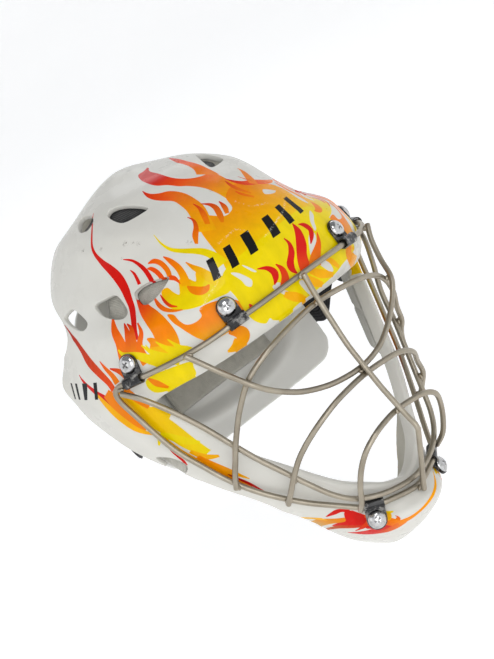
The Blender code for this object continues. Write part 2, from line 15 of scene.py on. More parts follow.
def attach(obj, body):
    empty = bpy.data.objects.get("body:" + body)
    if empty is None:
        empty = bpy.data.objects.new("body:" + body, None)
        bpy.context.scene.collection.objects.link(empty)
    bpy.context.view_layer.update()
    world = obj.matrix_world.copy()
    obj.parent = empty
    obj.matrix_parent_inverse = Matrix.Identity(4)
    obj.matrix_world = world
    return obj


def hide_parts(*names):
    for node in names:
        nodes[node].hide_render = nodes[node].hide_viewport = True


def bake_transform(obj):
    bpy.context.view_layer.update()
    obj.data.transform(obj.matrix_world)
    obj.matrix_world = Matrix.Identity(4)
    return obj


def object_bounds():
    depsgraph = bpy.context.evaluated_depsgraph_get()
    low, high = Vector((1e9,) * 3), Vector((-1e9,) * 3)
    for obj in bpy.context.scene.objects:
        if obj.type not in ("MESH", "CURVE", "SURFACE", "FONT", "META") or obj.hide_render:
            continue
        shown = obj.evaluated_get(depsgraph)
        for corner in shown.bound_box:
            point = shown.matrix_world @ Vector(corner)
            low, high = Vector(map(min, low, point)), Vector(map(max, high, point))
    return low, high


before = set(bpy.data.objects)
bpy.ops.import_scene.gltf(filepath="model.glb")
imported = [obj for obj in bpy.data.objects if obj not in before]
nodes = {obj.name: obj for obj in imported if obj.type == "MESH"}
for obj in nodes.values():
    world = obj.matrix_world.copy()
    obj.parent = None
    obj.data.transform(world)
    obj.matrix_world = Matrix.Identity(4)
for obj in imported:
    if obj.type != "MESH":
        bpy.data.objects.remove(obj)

cad_low, cad_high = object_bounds()

MM = 0.001
SHELL_THICKNESS = 3.5
WIRE_RADIUS = 1.75
PLATE_THICKNESS = 3.0
PLATE_LOW = -50.0
PLATE_LEAN = 0.42
DISH_DEPTH = 7
STRAP_WIDTH = 20.0
STRAP_THICKNESS = 1.5
SKIN_SPACING = 3.0  # between the points of the shell's surface
EDGE_SPACING = 2.6
WELD_WITHIN = 0.004  # the sheet's two sides meet behind the head and are joined there
OPENING_LIP = 3.0  # how far the rolled lip reaches past the surface's edge at the face opening
PLATE_SPACING = 1.5
WIRE_STEP = 2.5
WELD_REACH = 4.9  # wires nearer to each other than this, axis to axis, are welded
WELD_SIZE = (2.5, 1.75, 1.25)

# ---------------------------------------------------------------- shapes shared with the part

STATIONS = np.array((
    (124.5, 0, 34, 34, 34, 2.0, 2.0),
    (121.5, 34, 5, 34, 67, 2.1, 2.1),
    (111, 56, -14, 33, 85, 2.4, 2.4),
    (97, 70, -38, 31, 92, 2.5, 2.5),
    (75, 87, -64, 28, 92, 2.4, 2.4),
    (50, 99, -77, 24, 84, 2.3, 2.4),
    (30, 105, -80, 20, 78, 2.15, 3.0),
    (10, 106, -71, 17, 73, 1.8, 3.0),
    (-23, 101, -77, 10, 64, 1.65, 2.4),
    (-54, 87, -88, -5, 44, 1.6, 2.2),
    (-80, 64, -95, -22, 14, 1.65, 2.0),
    (-93, 50, -92, -36, -4, 1.9, 2.0),
    (-103, 42, -97, -45, -16, 2.0, 2.0),
    (-112, 37, -104, -50, -24, 2.0, 2.0),
    (-126, 26, -89, -53, -34, 2.0, 2.0),
    (-140, 8, -64, -53, -46, 2.0, 2.0),
    (-141.5, 0, -54, -54, -54, 2.0, 2.0),
))
LAST_LEVEL = len(STATIONS) - 1
OPENING = ((0, 27), (35, 24), (68, 19), (84, 16.5), (91, 13), (88, 5), (82, -4), (73, -23), (64, -40),
           (53, -55), (46, -64), (37, -75), (27, -84), (14, -90.5), (0, -93))
NECK_EDGE = ((-47, -160), (-46, -141), (-44, -122), (-42, -97), (-37, -70), (-22, -46), (-1, -22), (22, 0),
             (39, 14), (49, 27), (51, 38), (45, 48), (36, 55), (33, 62), (39, 70), (53, 78), (70, 86),
             (88, 94), (110, 101))
VENTS = (
    (-43, 1.75, ((-11, 4), (-9, 10.5), (-1, 9), (13, -1), (12, -6), (-3, -8))),
    (-87, 1.6, ((-9, 2), (-8, 7), (2, 6.5), (9, 1), (7, -6), (-2, -6))),
    (-51, 3.9, ((-10, 4), (-3, 6), (7, 5.5), (14, 4), (8, -2), (-1, -6.5), (-6, -6), (-10, -1))),
    (-71.5, 4.05, ((-15, 5), (-6, 8), (3, 8.5), (11, -2), (10, -7), (4, -7.5), (-8, -3))),
    (-88.5, 4.2, ((-15, 3), (-10, 7), (-4, 8), (9, 0.5), (10.5, -4), (5, -6.5), (-6, -3))),
    (-73, 8.2, ((-9, 9), (1, 7), (8, 0), (7.5, -5), (3, -7.5), (-1, -5), (-6, 2))),
)
BROW_ROUTE = ((-73, 5.95, 3.8), (-66, 5.85, 3.8), (-56, 5.75, 3.8), (-45, 5.65, 3.8), (-35, 5.55, 3.8),
              (-25, 5.42, 3.8), (-12, 5.33, 2.8), (0, 5.3, 2.4))
BASE_ROUTE = ((-74, 6.25, 3.8), (-69, 7.0, 3.4), (-65, 7.8, 3.2), (-62.5, 8.3, 3.0), (-61, 8.8, 3.0),
              (-58.5, 9.3, 3.6), (-54, 9.85, 4.5), (-48, 10.4, 4.3), (-40, 11.15, 4.2), (-34, 11.45, 4.6),
              (-24, 11.68, 3.6), (0, 11.9, 2.8))
FACE_LOOP = ((-105.6, -16.2, 28.3), (-100.5, -26, 21.5), (-92, -34.5, 8.4), (-82, -42.3, -9),
             (-74.4, -51.6, -26.3), (-67.1, -59.4, -41.7), (-59.7, -67.3, -55.2), (-53.7, -73.8, -66.2),
             (-46.6, -81, -77.7), (-37.7, -87, -86.2), (-25.1, -93, -91.5), (-12, -97, -94), (0, -98.5, -94.8))
UPPER_ARCH = ((-80.6, -42.6, -53), (-78.7, -45.5, -44), (-77.2, -50.5, -35), (-77, -55.3, -28), (-73.5, -60.5, -17),
              (-69.3, -68.7, -3.5), (-60.3, -76, 9.8), (-45, -83, 19), (-23.5, -84.2, 23.5), (0, -84, 25.5))
EYE_WIRE = ((-81, -58.5, 37.8), (-75.6, -62.6, 29.5), (-69.8, -69.9, 19), (-63.7, -79.4, 8.5), (-56.7, -82.8, 0.5),
            (-47, -85.5, -7), (-36, -88.5, -13), (-20, -93.5, -17.5), (0, -96.8, -18.8))
MIDDLE_ARCH = ((-62.8, -58.4, -75), (-61.9, -66.9, -65), (-60.6, -73.1, -57), (-54.5, -80, -46), (-45.5, -91, -34.5),
               (-30.5, -98.5, -26), (-14, -99.3, -23.4), (0, -98.7, -23))
LOWER_ARCH = ((-36.5, -85.4, -95.5), (-38.5, -93, -88), (-39, -99, -77), (-37, -105, -65.5), (-32, -110.5, -56),
              (-22, -113.3, -50), (-10, -111.7, -48.5), (0, -110.5, -48.3))
CENTRE_BAR = ((0, -85.4, 44.6), (0, -86, 38), (0, -88, 26), (0, -90.8, 13), (0, -94.5, -2.7), (0, -99.6, -15.9),
              (0, -102.8, -23.2), (0, -106.8, -32.4), (0, -113, -44.1), (0, -117.2, -51.7), (0, -121.2, -57.8))
CENTRE_BAR_LEG = ((0, -121.8, -61), (0, -116.8, -72.3), (0, -112, -82.8), (0, -107, -93.4), (0, -102.4, -103.4))
HELD_AT = 9  # the point of the base route that the chin clip holds


def smooth(points, where):
    """The Catmull-Rom curve through the rows of points, read at positions counted in rows."""
    points = np.asarray(points, float)
    where = np.atleast_1d(np.asarray(where, float))
    last = len(points) - 1
    index = np.clip(where.astype(int), 0, last - 1)
    part = (where - index)[:, None]
    a, b, c, d = (points[np.clip(index + step, 0, last)] for step in (-1, 0, 1, 2))
    return 0.5 * (2 * b + (c - a) * part + (2 * a - 5 * b + 4 * c - d) * part**2 + (3 * b - a - 3 * c + d) * part**3)


def on_plain(turn, level):
    turn = np.atleast_1d(np.asarray(turn, float))
    level = np.broadcast_to(np.asarray(level, float), turn.shape)
    height, half, front, middle, back, front_square, back_square = smooth(STATIONS, level).T
    across, along = np.sin(np.radians(turn)), np.cos(np.radians(turn))
    square = np.where(along > 0, front_square, back_square)
    reach = np.where(along > 0, middle - front, back - middle)
    x = np.maximum(half, 0) * np.sign(across) * np.abs(across) ** (2 / square)
    y = middle - reach * np.sign(along) * np.abs(along) ** (2 / square)
    return np.stack([x, y, height], 1)


def eased(value, low, high):
    part = np.clip((value - low) / (high - low), 0, 1)
    return part * part * (3 - 2 * part)


def rise(turn, level, points):
    """How far the skin stands out from the plain shell: temple recess, crown ridge and flank, and the ear flare."""
    turn = np.abs((turn + 180) % 360 - 180)
    x, y, z = np.abs(points[:, 0]), points[:, 1], points[:, 2]
    recess = np.exp(-(((turn - 58) / 28) ** 2)) * eased(level, 2.3, 3.75) * (1 - eased(level, 4.0, 4.75))
    ridge = np.exp(-((x / 24) ** 2) - ((y - 45) / 17) ** 2) * eased(z, 95, 118)
    flank = np.exp(-(((x - 33) / 20) ** 2) - ((y - 73) / 22) ** 2 - ((z - 114) / 13) ** 2)
    flare = np.exp(-(((turn - 116) / 9) ** 2) - ((level - 5.95) / 0.45) ** 2)
    return 6.0 * ridge + 4.0 * flare - 5.5 * flank - 7.5 * recess


def on_shell(turn, level):
    turn = np.atleast_1d(np.asarray(turn, float))
    level = np.broadcast_to(np.asarray(level, float), turn.shape)
    points = on_plain(turn, level)
    return points + outward(turn, level, on_plain) * rise(turn, level, points)[:, None]


def unit(rows):
    length = np.linalg.norm(rows, axis=-1, keepdims=True)
    return rows / np.maximum(length, 1e-9)


def outward(turn, level, surface=None):
    surface = surface or on_shell
    turn = np.atleast_1d(np.asarray(turn, float))
    level = np.broadcast_to(np.asarray(level, float), turn.shape)
    across = surface(turn + 0.5, level) - surface(turn - 0.5, level)
    down = surface(turn, np.minimum(level + 0.02, LAST_LEVEL)) - surface(turn, np.maximum(level - 0.02, 0))
    found = np.cross(down, across)
    flat = np.linalg.norm(found, axis=1) < 1e-4
    found[flat] = np.where(level[flat, None] < 8, (0, 0, 1), (0, 0, -1))
    return unit(found)


def off_shell(turn, level, height):
    turn = np.atleast_1d(np.asarray(turn, float))
    return on_shell(turn, level) + outward(turn, level) * np.reshape(height, (-1, 1))


def level_at(height):
    """The level whose section lies at this height."""
    fine = np.linspace(0, LAST_LEVEL, 1601)
    heights = smooth(STATIONS, fine)[:, 0]
    return np.interp(-np.asarray(height, float), -heights, fine)


# The flat sheet that the shell's surface is drawn on: about a millimetre to a millimetre.
RUN_LEVELS = np.linspace(0, LAST_LEVEL, 161)
RUN_STEPS = np.diff(on_shell([-60] * len(RUN_LEVELS), RUN_LEVELS), axis=0)
RUN = np.concatenate([[0], np.cumsum(np.linalg.norm(RUN_STEPS, axis=1))])
STRETCH = 1.65  # millimetres of sheet to a degree of turn


def flat_of(turn, level):
    down = np.interp(level, RUN_LEVELS, RUN)
    return np.stack([np.asarray(turn, float) * STRETCH, np.broadcast_to(down, np.shape(turn))], -1)


def of_flat(flat):
    flat = np.asarray(flat, float)
    return flat[:, 0] / STRETCH, np.interp(flat[:, 1], RUN, RUN_LEVELS)


# ---------------------------------------------------------------- small makers

pieces = bpy.data.collections.new("pieces")
bpy.context.scene.collection.children.link(pieces)


def add(name, mesh, materials=()):
    made = bpy.data.objects.new(name, mesh)
    pieces.objects.link(made)
    for one in materials:
        mesh.materials.append(one)
    return made


def settle(piece, body, node):
    """The piece rides the body and takes the CAD node's place."""
    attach(piece, body)
    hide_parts(node)


def mesh_from(name, points, faces, smooth_faces=True):
    mesh = bpy.data.meshes.new(name)
    mesh.from_pydata([tuple(p) for p in np.asarray(points) * MM], [], [tuple(int(i) for i in f) for f in faces])
    mesh.validate()
    if smooth_faces:
        mesh.shade_smooth()
    return mesh


def cleaned(mesh, distance=None):
    """Joins points closer than the distance, if one is given, and turns every face outward."""
    shape = bmesh.new()
    shape.from_mesh(mesh)
    if distance:
        bmesh.ops.remove_doubles(shape, verts=shape.verts, dist=distance)
    bmesh.ops.recalc_face_normals(shape, faces=shape.faces)
    shape.to_mesh(mesh)
    shape.free()


def ring_faces(rings, around, closed=False):
    """Four-sided faces between rings of points that follow each other."""
    faces = []
    for i in range(rings if closed else rings - 1):
        here, there = i * around, (i + 1) % rings * around
        for k in range(around):
            m = (k + 1) % around
            faces.append((here + k, here + m, there + m, there + k))
    return faces


def outline_of(points, per_side=6):
    """A smooth closed outline through the points."""
    points = list(points)
    looped = points[-1:] + points + points[:2]
    return smooth(looped, 1 + np.arange(per_side * len(points)) / per_side)


def within(points, outline):
    """Which points lie inside a closed outline."""
    inside = np.zeros(len(points), bool)
    x, y = points[:, 0], points[:, 1]
    for (ax, ay), (bx, by) in zip(outline, np.roll(outline, -1, axis=0)):
        if ay == by:
            continue
        crosses = (ay > y) != (by > y)
        inside ^= crosses & (x < (bx - ax) * (y - ay) / (by - ay) + ax)
    return inside


def paced(points, step):
    """Points about a step apart along a polyline."""
    points = np.asarray(points, float)
    lengths = np.concatenate([[0], np.cumsum(np.linalg.norm(np.diff(points, axis=0), axis=1))])
    count = max(2, int(round(lengths[-1] / step)))
    where = np.linspace(0, lengths[-1], count + 1)
    return np.stack([np.interp(where, lengths, column) for column in points.T], 1)


def route_of(points, step, cyclic=False):
    points = list(map(tuple, points))
    if cyclic:
        points = points[-2:] + points + points[:3]
    fine = finely(points, 20)
    if cyclic:
        fine = fine[40:-40]
    paced_points = paced(fine, step)
    return paced_points[:-1] if cyclic else paced_points


def finely(points, per_side):
    """The smooth curve through the points, with so many steps between each two."""
    return smooth(points, np.arange(per_side * (len(points) - 1) + 1) / per_side)


def mirrored(points):
    return list(points) + [(-x, y, z) for x, y, z in reversed(points[:-1])]


# ---------------------------------------------------------------- materials


class Finish:
    """A principled material with short ways to add noise, bump and mixes."""

    def __init__(self, name, colour, roughness, metallic=0.0, **settings):
        self.material = bpy.data.materials.new(name)
        self.material.use_nodes = True
        self.tree = self.material.node_tree
        self.shader = self.tree.nodes["Principled BSDF"]
        self.set(self.shader, "Base Color", (*colour, 1.0))
        self.set(self.shader, "Roughness", roughness)
        self.set(self.shader, "Metallic", metallic)
        for key, value in settings.items():
            self.set(self.shader, key.replace("_", " "), value)
        self.coords = self.tree.nodes.new("ShaderNodeTexCoord").outputs["Object"]

    def set(self, node, socket, value):
        node.inputs[socket].default_value = value

    def link(self, out, into):
        self.tree.links.new(out, into)

    def feed(self, socket, value):
        """Gives the socket a value, or links it to another node's output."""
        if isinstance(value, bpy.types.NodeSocket):
            self.link(value, socket)
        else:
            socket.default_value = (*value, 1.0) if socket.type == "RGBA" and len(value) == 3 else value

    def node(self, kind, **inputs):
        made = self.tree.nodes.new(kind)
        for key, value in inputs.items():
            self.feed(made.inputs[key.replace("_", " ")], value)
        return made

    def scaled(self, x, y, z):
        mapping = self.node("ShaderNodeMapping", Vector=self.coords, Scale=(x, y, z))
        return mapping.outputs["Vector"]

    def noise(self, scale, detail=4.0, roughness=0.55, vector=None, distortion=0.0):
        made = self.node("ShaderNodeTexNoise", Vector=vector or self.coords, Scale=scale, Detail=detail,
                         Roughness=roughness, Distortion=distortion)
        return made.outputs["Fac"]

    def band(self, value, low, high, to_low=0.0, to_high=1.0):
        made = self.node("ShaderNodeMapRange", Value=value)
        for key, number in (("From Min", low), ("From Max", high), ("To Min", to_low), ("To Max", to_high)):
            made.inputs[key].default_value = number
        return made.outputs["Result"]

    def math(self, operation, a, b=0.5):
        made = self.tree.nodes.new("ShaderNodeMath")
        made.operation = operation
        self.feed(made.inputs[0], a)
        self.feed(made.inputs[1], b)
        return made.outputs[0]

    def mix(self, factor, a, b):
        made = self.tree.nodes.new("ShaderNodeMix")
        made.data_type = "RGBA"
        for index, value in ((0, factor), (6, a), (7, b)):
            self.feed(made.inputs[index], value)
        return made.outputs[2]

    def colour(self, out):
        self.link(out, self.shader.inputs["Base Color"])

    def rough(self, out):
        self.link(out, self.shader.inputs["Roughness"])

    def bump(self, height, strength, distance):
        made = self.node("ShaderNodeBump", Height=height, Strength=strength, Distance=distance * MM)
        self.link(made.outputs["Normal"], self.shader.inputs["Normal"])

    def sum(self, *heights):
        total = heights[0]
        for one in heights[1:]:
            total = self.math("ADD", total, one)
        return total


def spots(finish, places):
    """A value that is 1 near any of the places on the shell, with ragged edges."""
    ragged = finish.noise(900.0, 5.0, 0.7)
    total = None
    for turn, level, radius in places:
        away = finish.tree.nodes.new("ShaderNodeVectorMath")
        away.operation = "DISTANCE"
        finish.link(finish.coords, away.inputs[0])
        away.inputs[1].default_value = on_shell(turn, level)[0] * MM
        near = finish.band(away.outputs["Value"], radius * MM, radius * 0.25 * MM)
        hit = finish.math("MULTIPLY", near, finish.band(ragged, 0.5, 0.62))
        total = hit if total is None else finish.math("MAXIMUM", total, hit)
    return total


def shell_finish():
    """Glossy clear-coated white with the painted graphics, slight yellowing, scuffs and dirt."""
    made = Finish("gloss_painted_shell", (0.80, 0.78, 0.72), 0.3, Coat_Weight=0.2, Coat_Roughness=0.05,
                  Coat_IOR=1.4, Specular_IOR_Level=0.06)
    aged = made.band(made.noise(14.0, 3.0), 0.35, 0.7)
    white = made.mix(aged, (0.68, 0.67, 0.625), (0.62, 0.605, 0.555))
    paint = made.node("ShaderNodeAttribute")
    paint.attribute_name = "paint"
    streaks = made.band(made.noise(120.0, 4.0, 0.6, made.scaled(1.0, 1.0, 0.25)), 0.3, 0.75, 0.9, 1.06)
    faded = made.node("ShaderNodeHueSaturation", Color=paint.outputs["Color"], Value=streaks)
    base = made.mix(paint.outputs["Alpha"], white, faded.outputs["Color"])
    scratch = made.noise(60.0, 6.0, 0.75, made.scaled(1.0, 1.0, 9.0), 2.0)
    fine = made.band(scratch, 0.7, 0.76)
    base = made.mix(made.math("MULTIPLY", fine, 0.25), base, (0.55, 0.52, 0.46))
    dirt = spots(made, DIRT)
    base = made.mix(made.math("MULTIPLY", dirt, 0.85), base, (0.10, 0.075, 0.05))
    cracks = spots(made, [(*step, 1.1) for line in CRACKS for step in paced(line, 0.55)])
    base = made.mix(made.math("MULTIPLY", cracks, 0.5), base, (0.9, 0.88, 0.8))
    made.colour(base)
    made.rough(made.band(made.noise(45.0, 6.0, 0.65), 0.3, 0.8, 0.2, 0.42))
    made.bump(made.sum(made.noise(30.0, 2.0), made.math("MULTIPLY", fine, -0.4)), 0.25, 0.5)
    return made.material


def liner_finish():
    """The bare moulded inside of the shell, dull and slightly fibrous."""
    made = Finish("bare_inside", (0.52, 0.50, 0.43), 0.6)
    patchy = made.noise(35.0, 6.0, 0.6)
    made.colour(made.mix(made.band(patchy, 0.3, 0.75), (0.58, 0.56, 0.49), (0.42, 0.40, 0.34)))
    made.rough(made.band(patchy, 0.3, 0.8, 0.5, 0.75))
    fibres = made.noise(260.0, 3.0, 0.5, made.scaled(1.0, 3.0, 0.4), 1.5)
    made.bump(fibres, 0.35, 0.4)
    return made.material


def plate_finish():
    made = Finish("satin_plate", (0.82, 0.81, 0.78), 0.38, Coat_Weight=0.25, Coat_Roughness=0.2)
    aged = made.noise(18.0, 4.0)
    made.colour(made.mix(made.band(aged, 0.3, 0.75), (0.78, 0.775, 0.745), (0.70, 0.695, 0.66)))
    made.rough(made.band(made.noise(70.0, 5.0), 0.3, 0.8, 0.3, 0.5))
    made.bump(made.noise(420.0, 2.0), 0.12, 0.3)
    return made.material


def wire_finish():
    """Satin nickel-plated steel with a warm cast, fine pits, and darker tone by the welds."""
    made = Finish("satin_nickel_wire", (0.36, 0.32, 0.25), 0.36, 1.0)
    tone = made.noise(55.0, 5.0, 0.6)
    base = made.mix(made.band(tone, 0.3, 0.75), (0.42, 0.375, 0.30), (0.29, 0.255, 0.20))
    heat = made.node("ShaderNodeAttribute")
    heat.attribute_name = "heat"
    base = made.mix(made.math("MULTIPLY", heat.outputs["Fac"], 0.75), base, (0.15, 0.12, 0.085))
    pits = made.band(made.noise(900.0, 3.0, 0.7), 0.66, 0.75)
    base = made.mix(made.math("MULTIPLY", pits, 0.35), base, (0.25, 0.2, 0.15))
    made.colour(base)
    made.rough(made.band(made.noise(240.0, 5.0, 0.7), 0.25, 0.8, 0.28, 0.5))
    made.bump(made.noise(700.0, 4.0, 0.6), 0.18, 0.2)
    return made.material


def clip_finish():
    made = Finish("gloss_black_clip", (0.008, 0.008, 0.009), 0.22, Specular_IOR_Level=0.35)
    worn = made.noise(160.0, 6.0, 0.7)
    edge = made.node("ShaderNodeNewGeometry").outputs["Pointiness"]
    chipped = made.math("MULTIPLY", made.band(edge, 0.53, 0.62), made.band(worn, 0.5, 0.62))
    base = made.mix(made.band(worn, 0.35, 0.75), (0.010, 0.010, 0.011), (0.028, 0.028, 0.03))
    made.colour(made.mix(chipped, base, (0.35, 0.34, 0.32)))
    made.rough(made.band(worn, 0.3, 0.8, 0.12, 0.34))
    made.bump(made.noise(300.0, 3.0), 0.12, 0.3)
    return made.material


def screw_finish(name="bright_screw"):
    made = Finish(name, (0.6, 0.6, 0.6), 0.2, 1.0)
    worn = made.noise(500.0, 5.0, 0.7)
    tarnish = made.band(made.noise(180.0, 5.0, 0.7), 0.5, 0.7)
    base = made.mix(made.band(worn, 0.3, 0.8), (0.64, 0.64, 0.64), (0.42, 0.42, 0.43))
    made.colour(made.mix(made.math("MULTIPLY", tarnish, 0.5), base, (0.2, 0.19, 0.17)))
    made.rough(made.band(worn, 0.3, 0.8, 0.1, 0.3))
    made.bump(worn, 0.15, 0.15)
    return made.material


def foam_finish(name, light, dark, roughness=0.85):
    """A foam pad under a fine knitted face: loops in two directions and a little lint."""
    made = Finish(name, light, roughness, Sheen_Weight=0.35, Sheen_Roughness=0.5)
    rows = made.node("ShaderNodeTexWave", Vector=made.coords, Scale=380.0, Distortion=1.5, Detail=1.0)
    columns = made.node("ShaderNodeTexWave", Vector=made.coords, Scale=380.0, Distortion=1.5, Detail=1.0)
    rows.bands_direction, columns.bands_direction = "X", "Z"
    knit = made.math("MULTIPLY", rows.outputs["Fac"], columns.outputs["Fac"])
    lint = made.noise(160.0, 6.0, 0.7)
    tone = made.math("MULTIPLY", made.band(lint, 0.3, 0.8), made.band(knit, 0.0, 0.8, 1.0, 0.55))
    made.colour(made.mix(tone, light, dark))
    made.rough(made.band(lint, 0.3, 0.8, roughness - 0.12, 0.98))
    made.bump(made.sum(knit, made.math("MULTIPLY", lint, 0.5)), 0.5, 0.5)
    return made.material


def elastic_finish():
    """Black ribbed elastic: ribs along the band from its own along and across values, and a woven edge."""
    made = Finish("ribbed_elastic", (0.02, 0.02, 0.02), 0.8, Sheen_Weight=0.4, Sheen_Roughness=0.4)
    place = made.node("ShaderNodeAttribute")
    place.attribute_name = "band_place"
    split = made.node("ShaderNodeSeparateXYZ", Vector=place.outputs["Vector"])
    ribs = made.math("SINE", made.math("MULTIPLY", split.outputs["X"], 6.2832 * 9))
    weft = made.math("SINE", made.math("MULTIPLY", split.outputs["Y"], 6.2832 * 0.9))
    weave = made.math("MULTIPLY", made.band(ribs, -1, 1), made.band(weft, -1, 1, 0.55, 1.0))
    lint = made.noise(300.0, 6.0, 0.7)
    made.colour(made.mix(made.math("MULTIPLY", weave, made.band(lint, 0.3, 0.8, 0.5, 1.0)), (0.006, 0.006, 0.007),
                         (0.045, 0.045, 0.048)))
    made.rough(made.band(lint, 0.3, 0.8, 0.7, 0.95))
    made.bump(made.sum(weave, made.math("MULTIPLY", lint, 0.3)), 0.6, 0.4)
    return made.material


def floor_finish():
    made = Finish("pale_floor", (0.95, 0.95, 0.95), 0.8, Emission_Color=(1.0, 1.0, 1.0, 1.0), Emission_Strength=0.36,
                  Specular_IOR_Level=0.1)
    tone = made.noise(3.0, 4.0)
    made.colour(made.mix(made.band(tone, 0.3, 0.8), (0.96, 0.96, 0.96), (0.93, 0.93, 0.93)))
    return made.material


# ---------------------------------------------------------------- the painted graphics

COLOURS = {
    "Y": (0.8, 0.62, 0),  # yellow
    "A": (0.86, 0.4, 0),  # amber
    "O": (0.83, 0.21, 0),  # orange
    "V": (0.8, 0.075, 0.003),  # vermilion
    "R": (0.62, 0.008, 0.004),  # red
    "D": (0.36, 0.004, 0.004),  # dark red
    "K": (0.01, 0.01, 0.011),  # black
    "m": (0.42, 0.33, 0.02),  # mustard: yellow darkened with painted shade, for the shaded chin
    "o": (0.45, 0.38, 0.05),  # olive: yellow darkened with painted shade, for the shaded chin
    "b": (0.38, 0.14, 0.02),  # brown: red darkened with painted shade, for the shaded chin
}
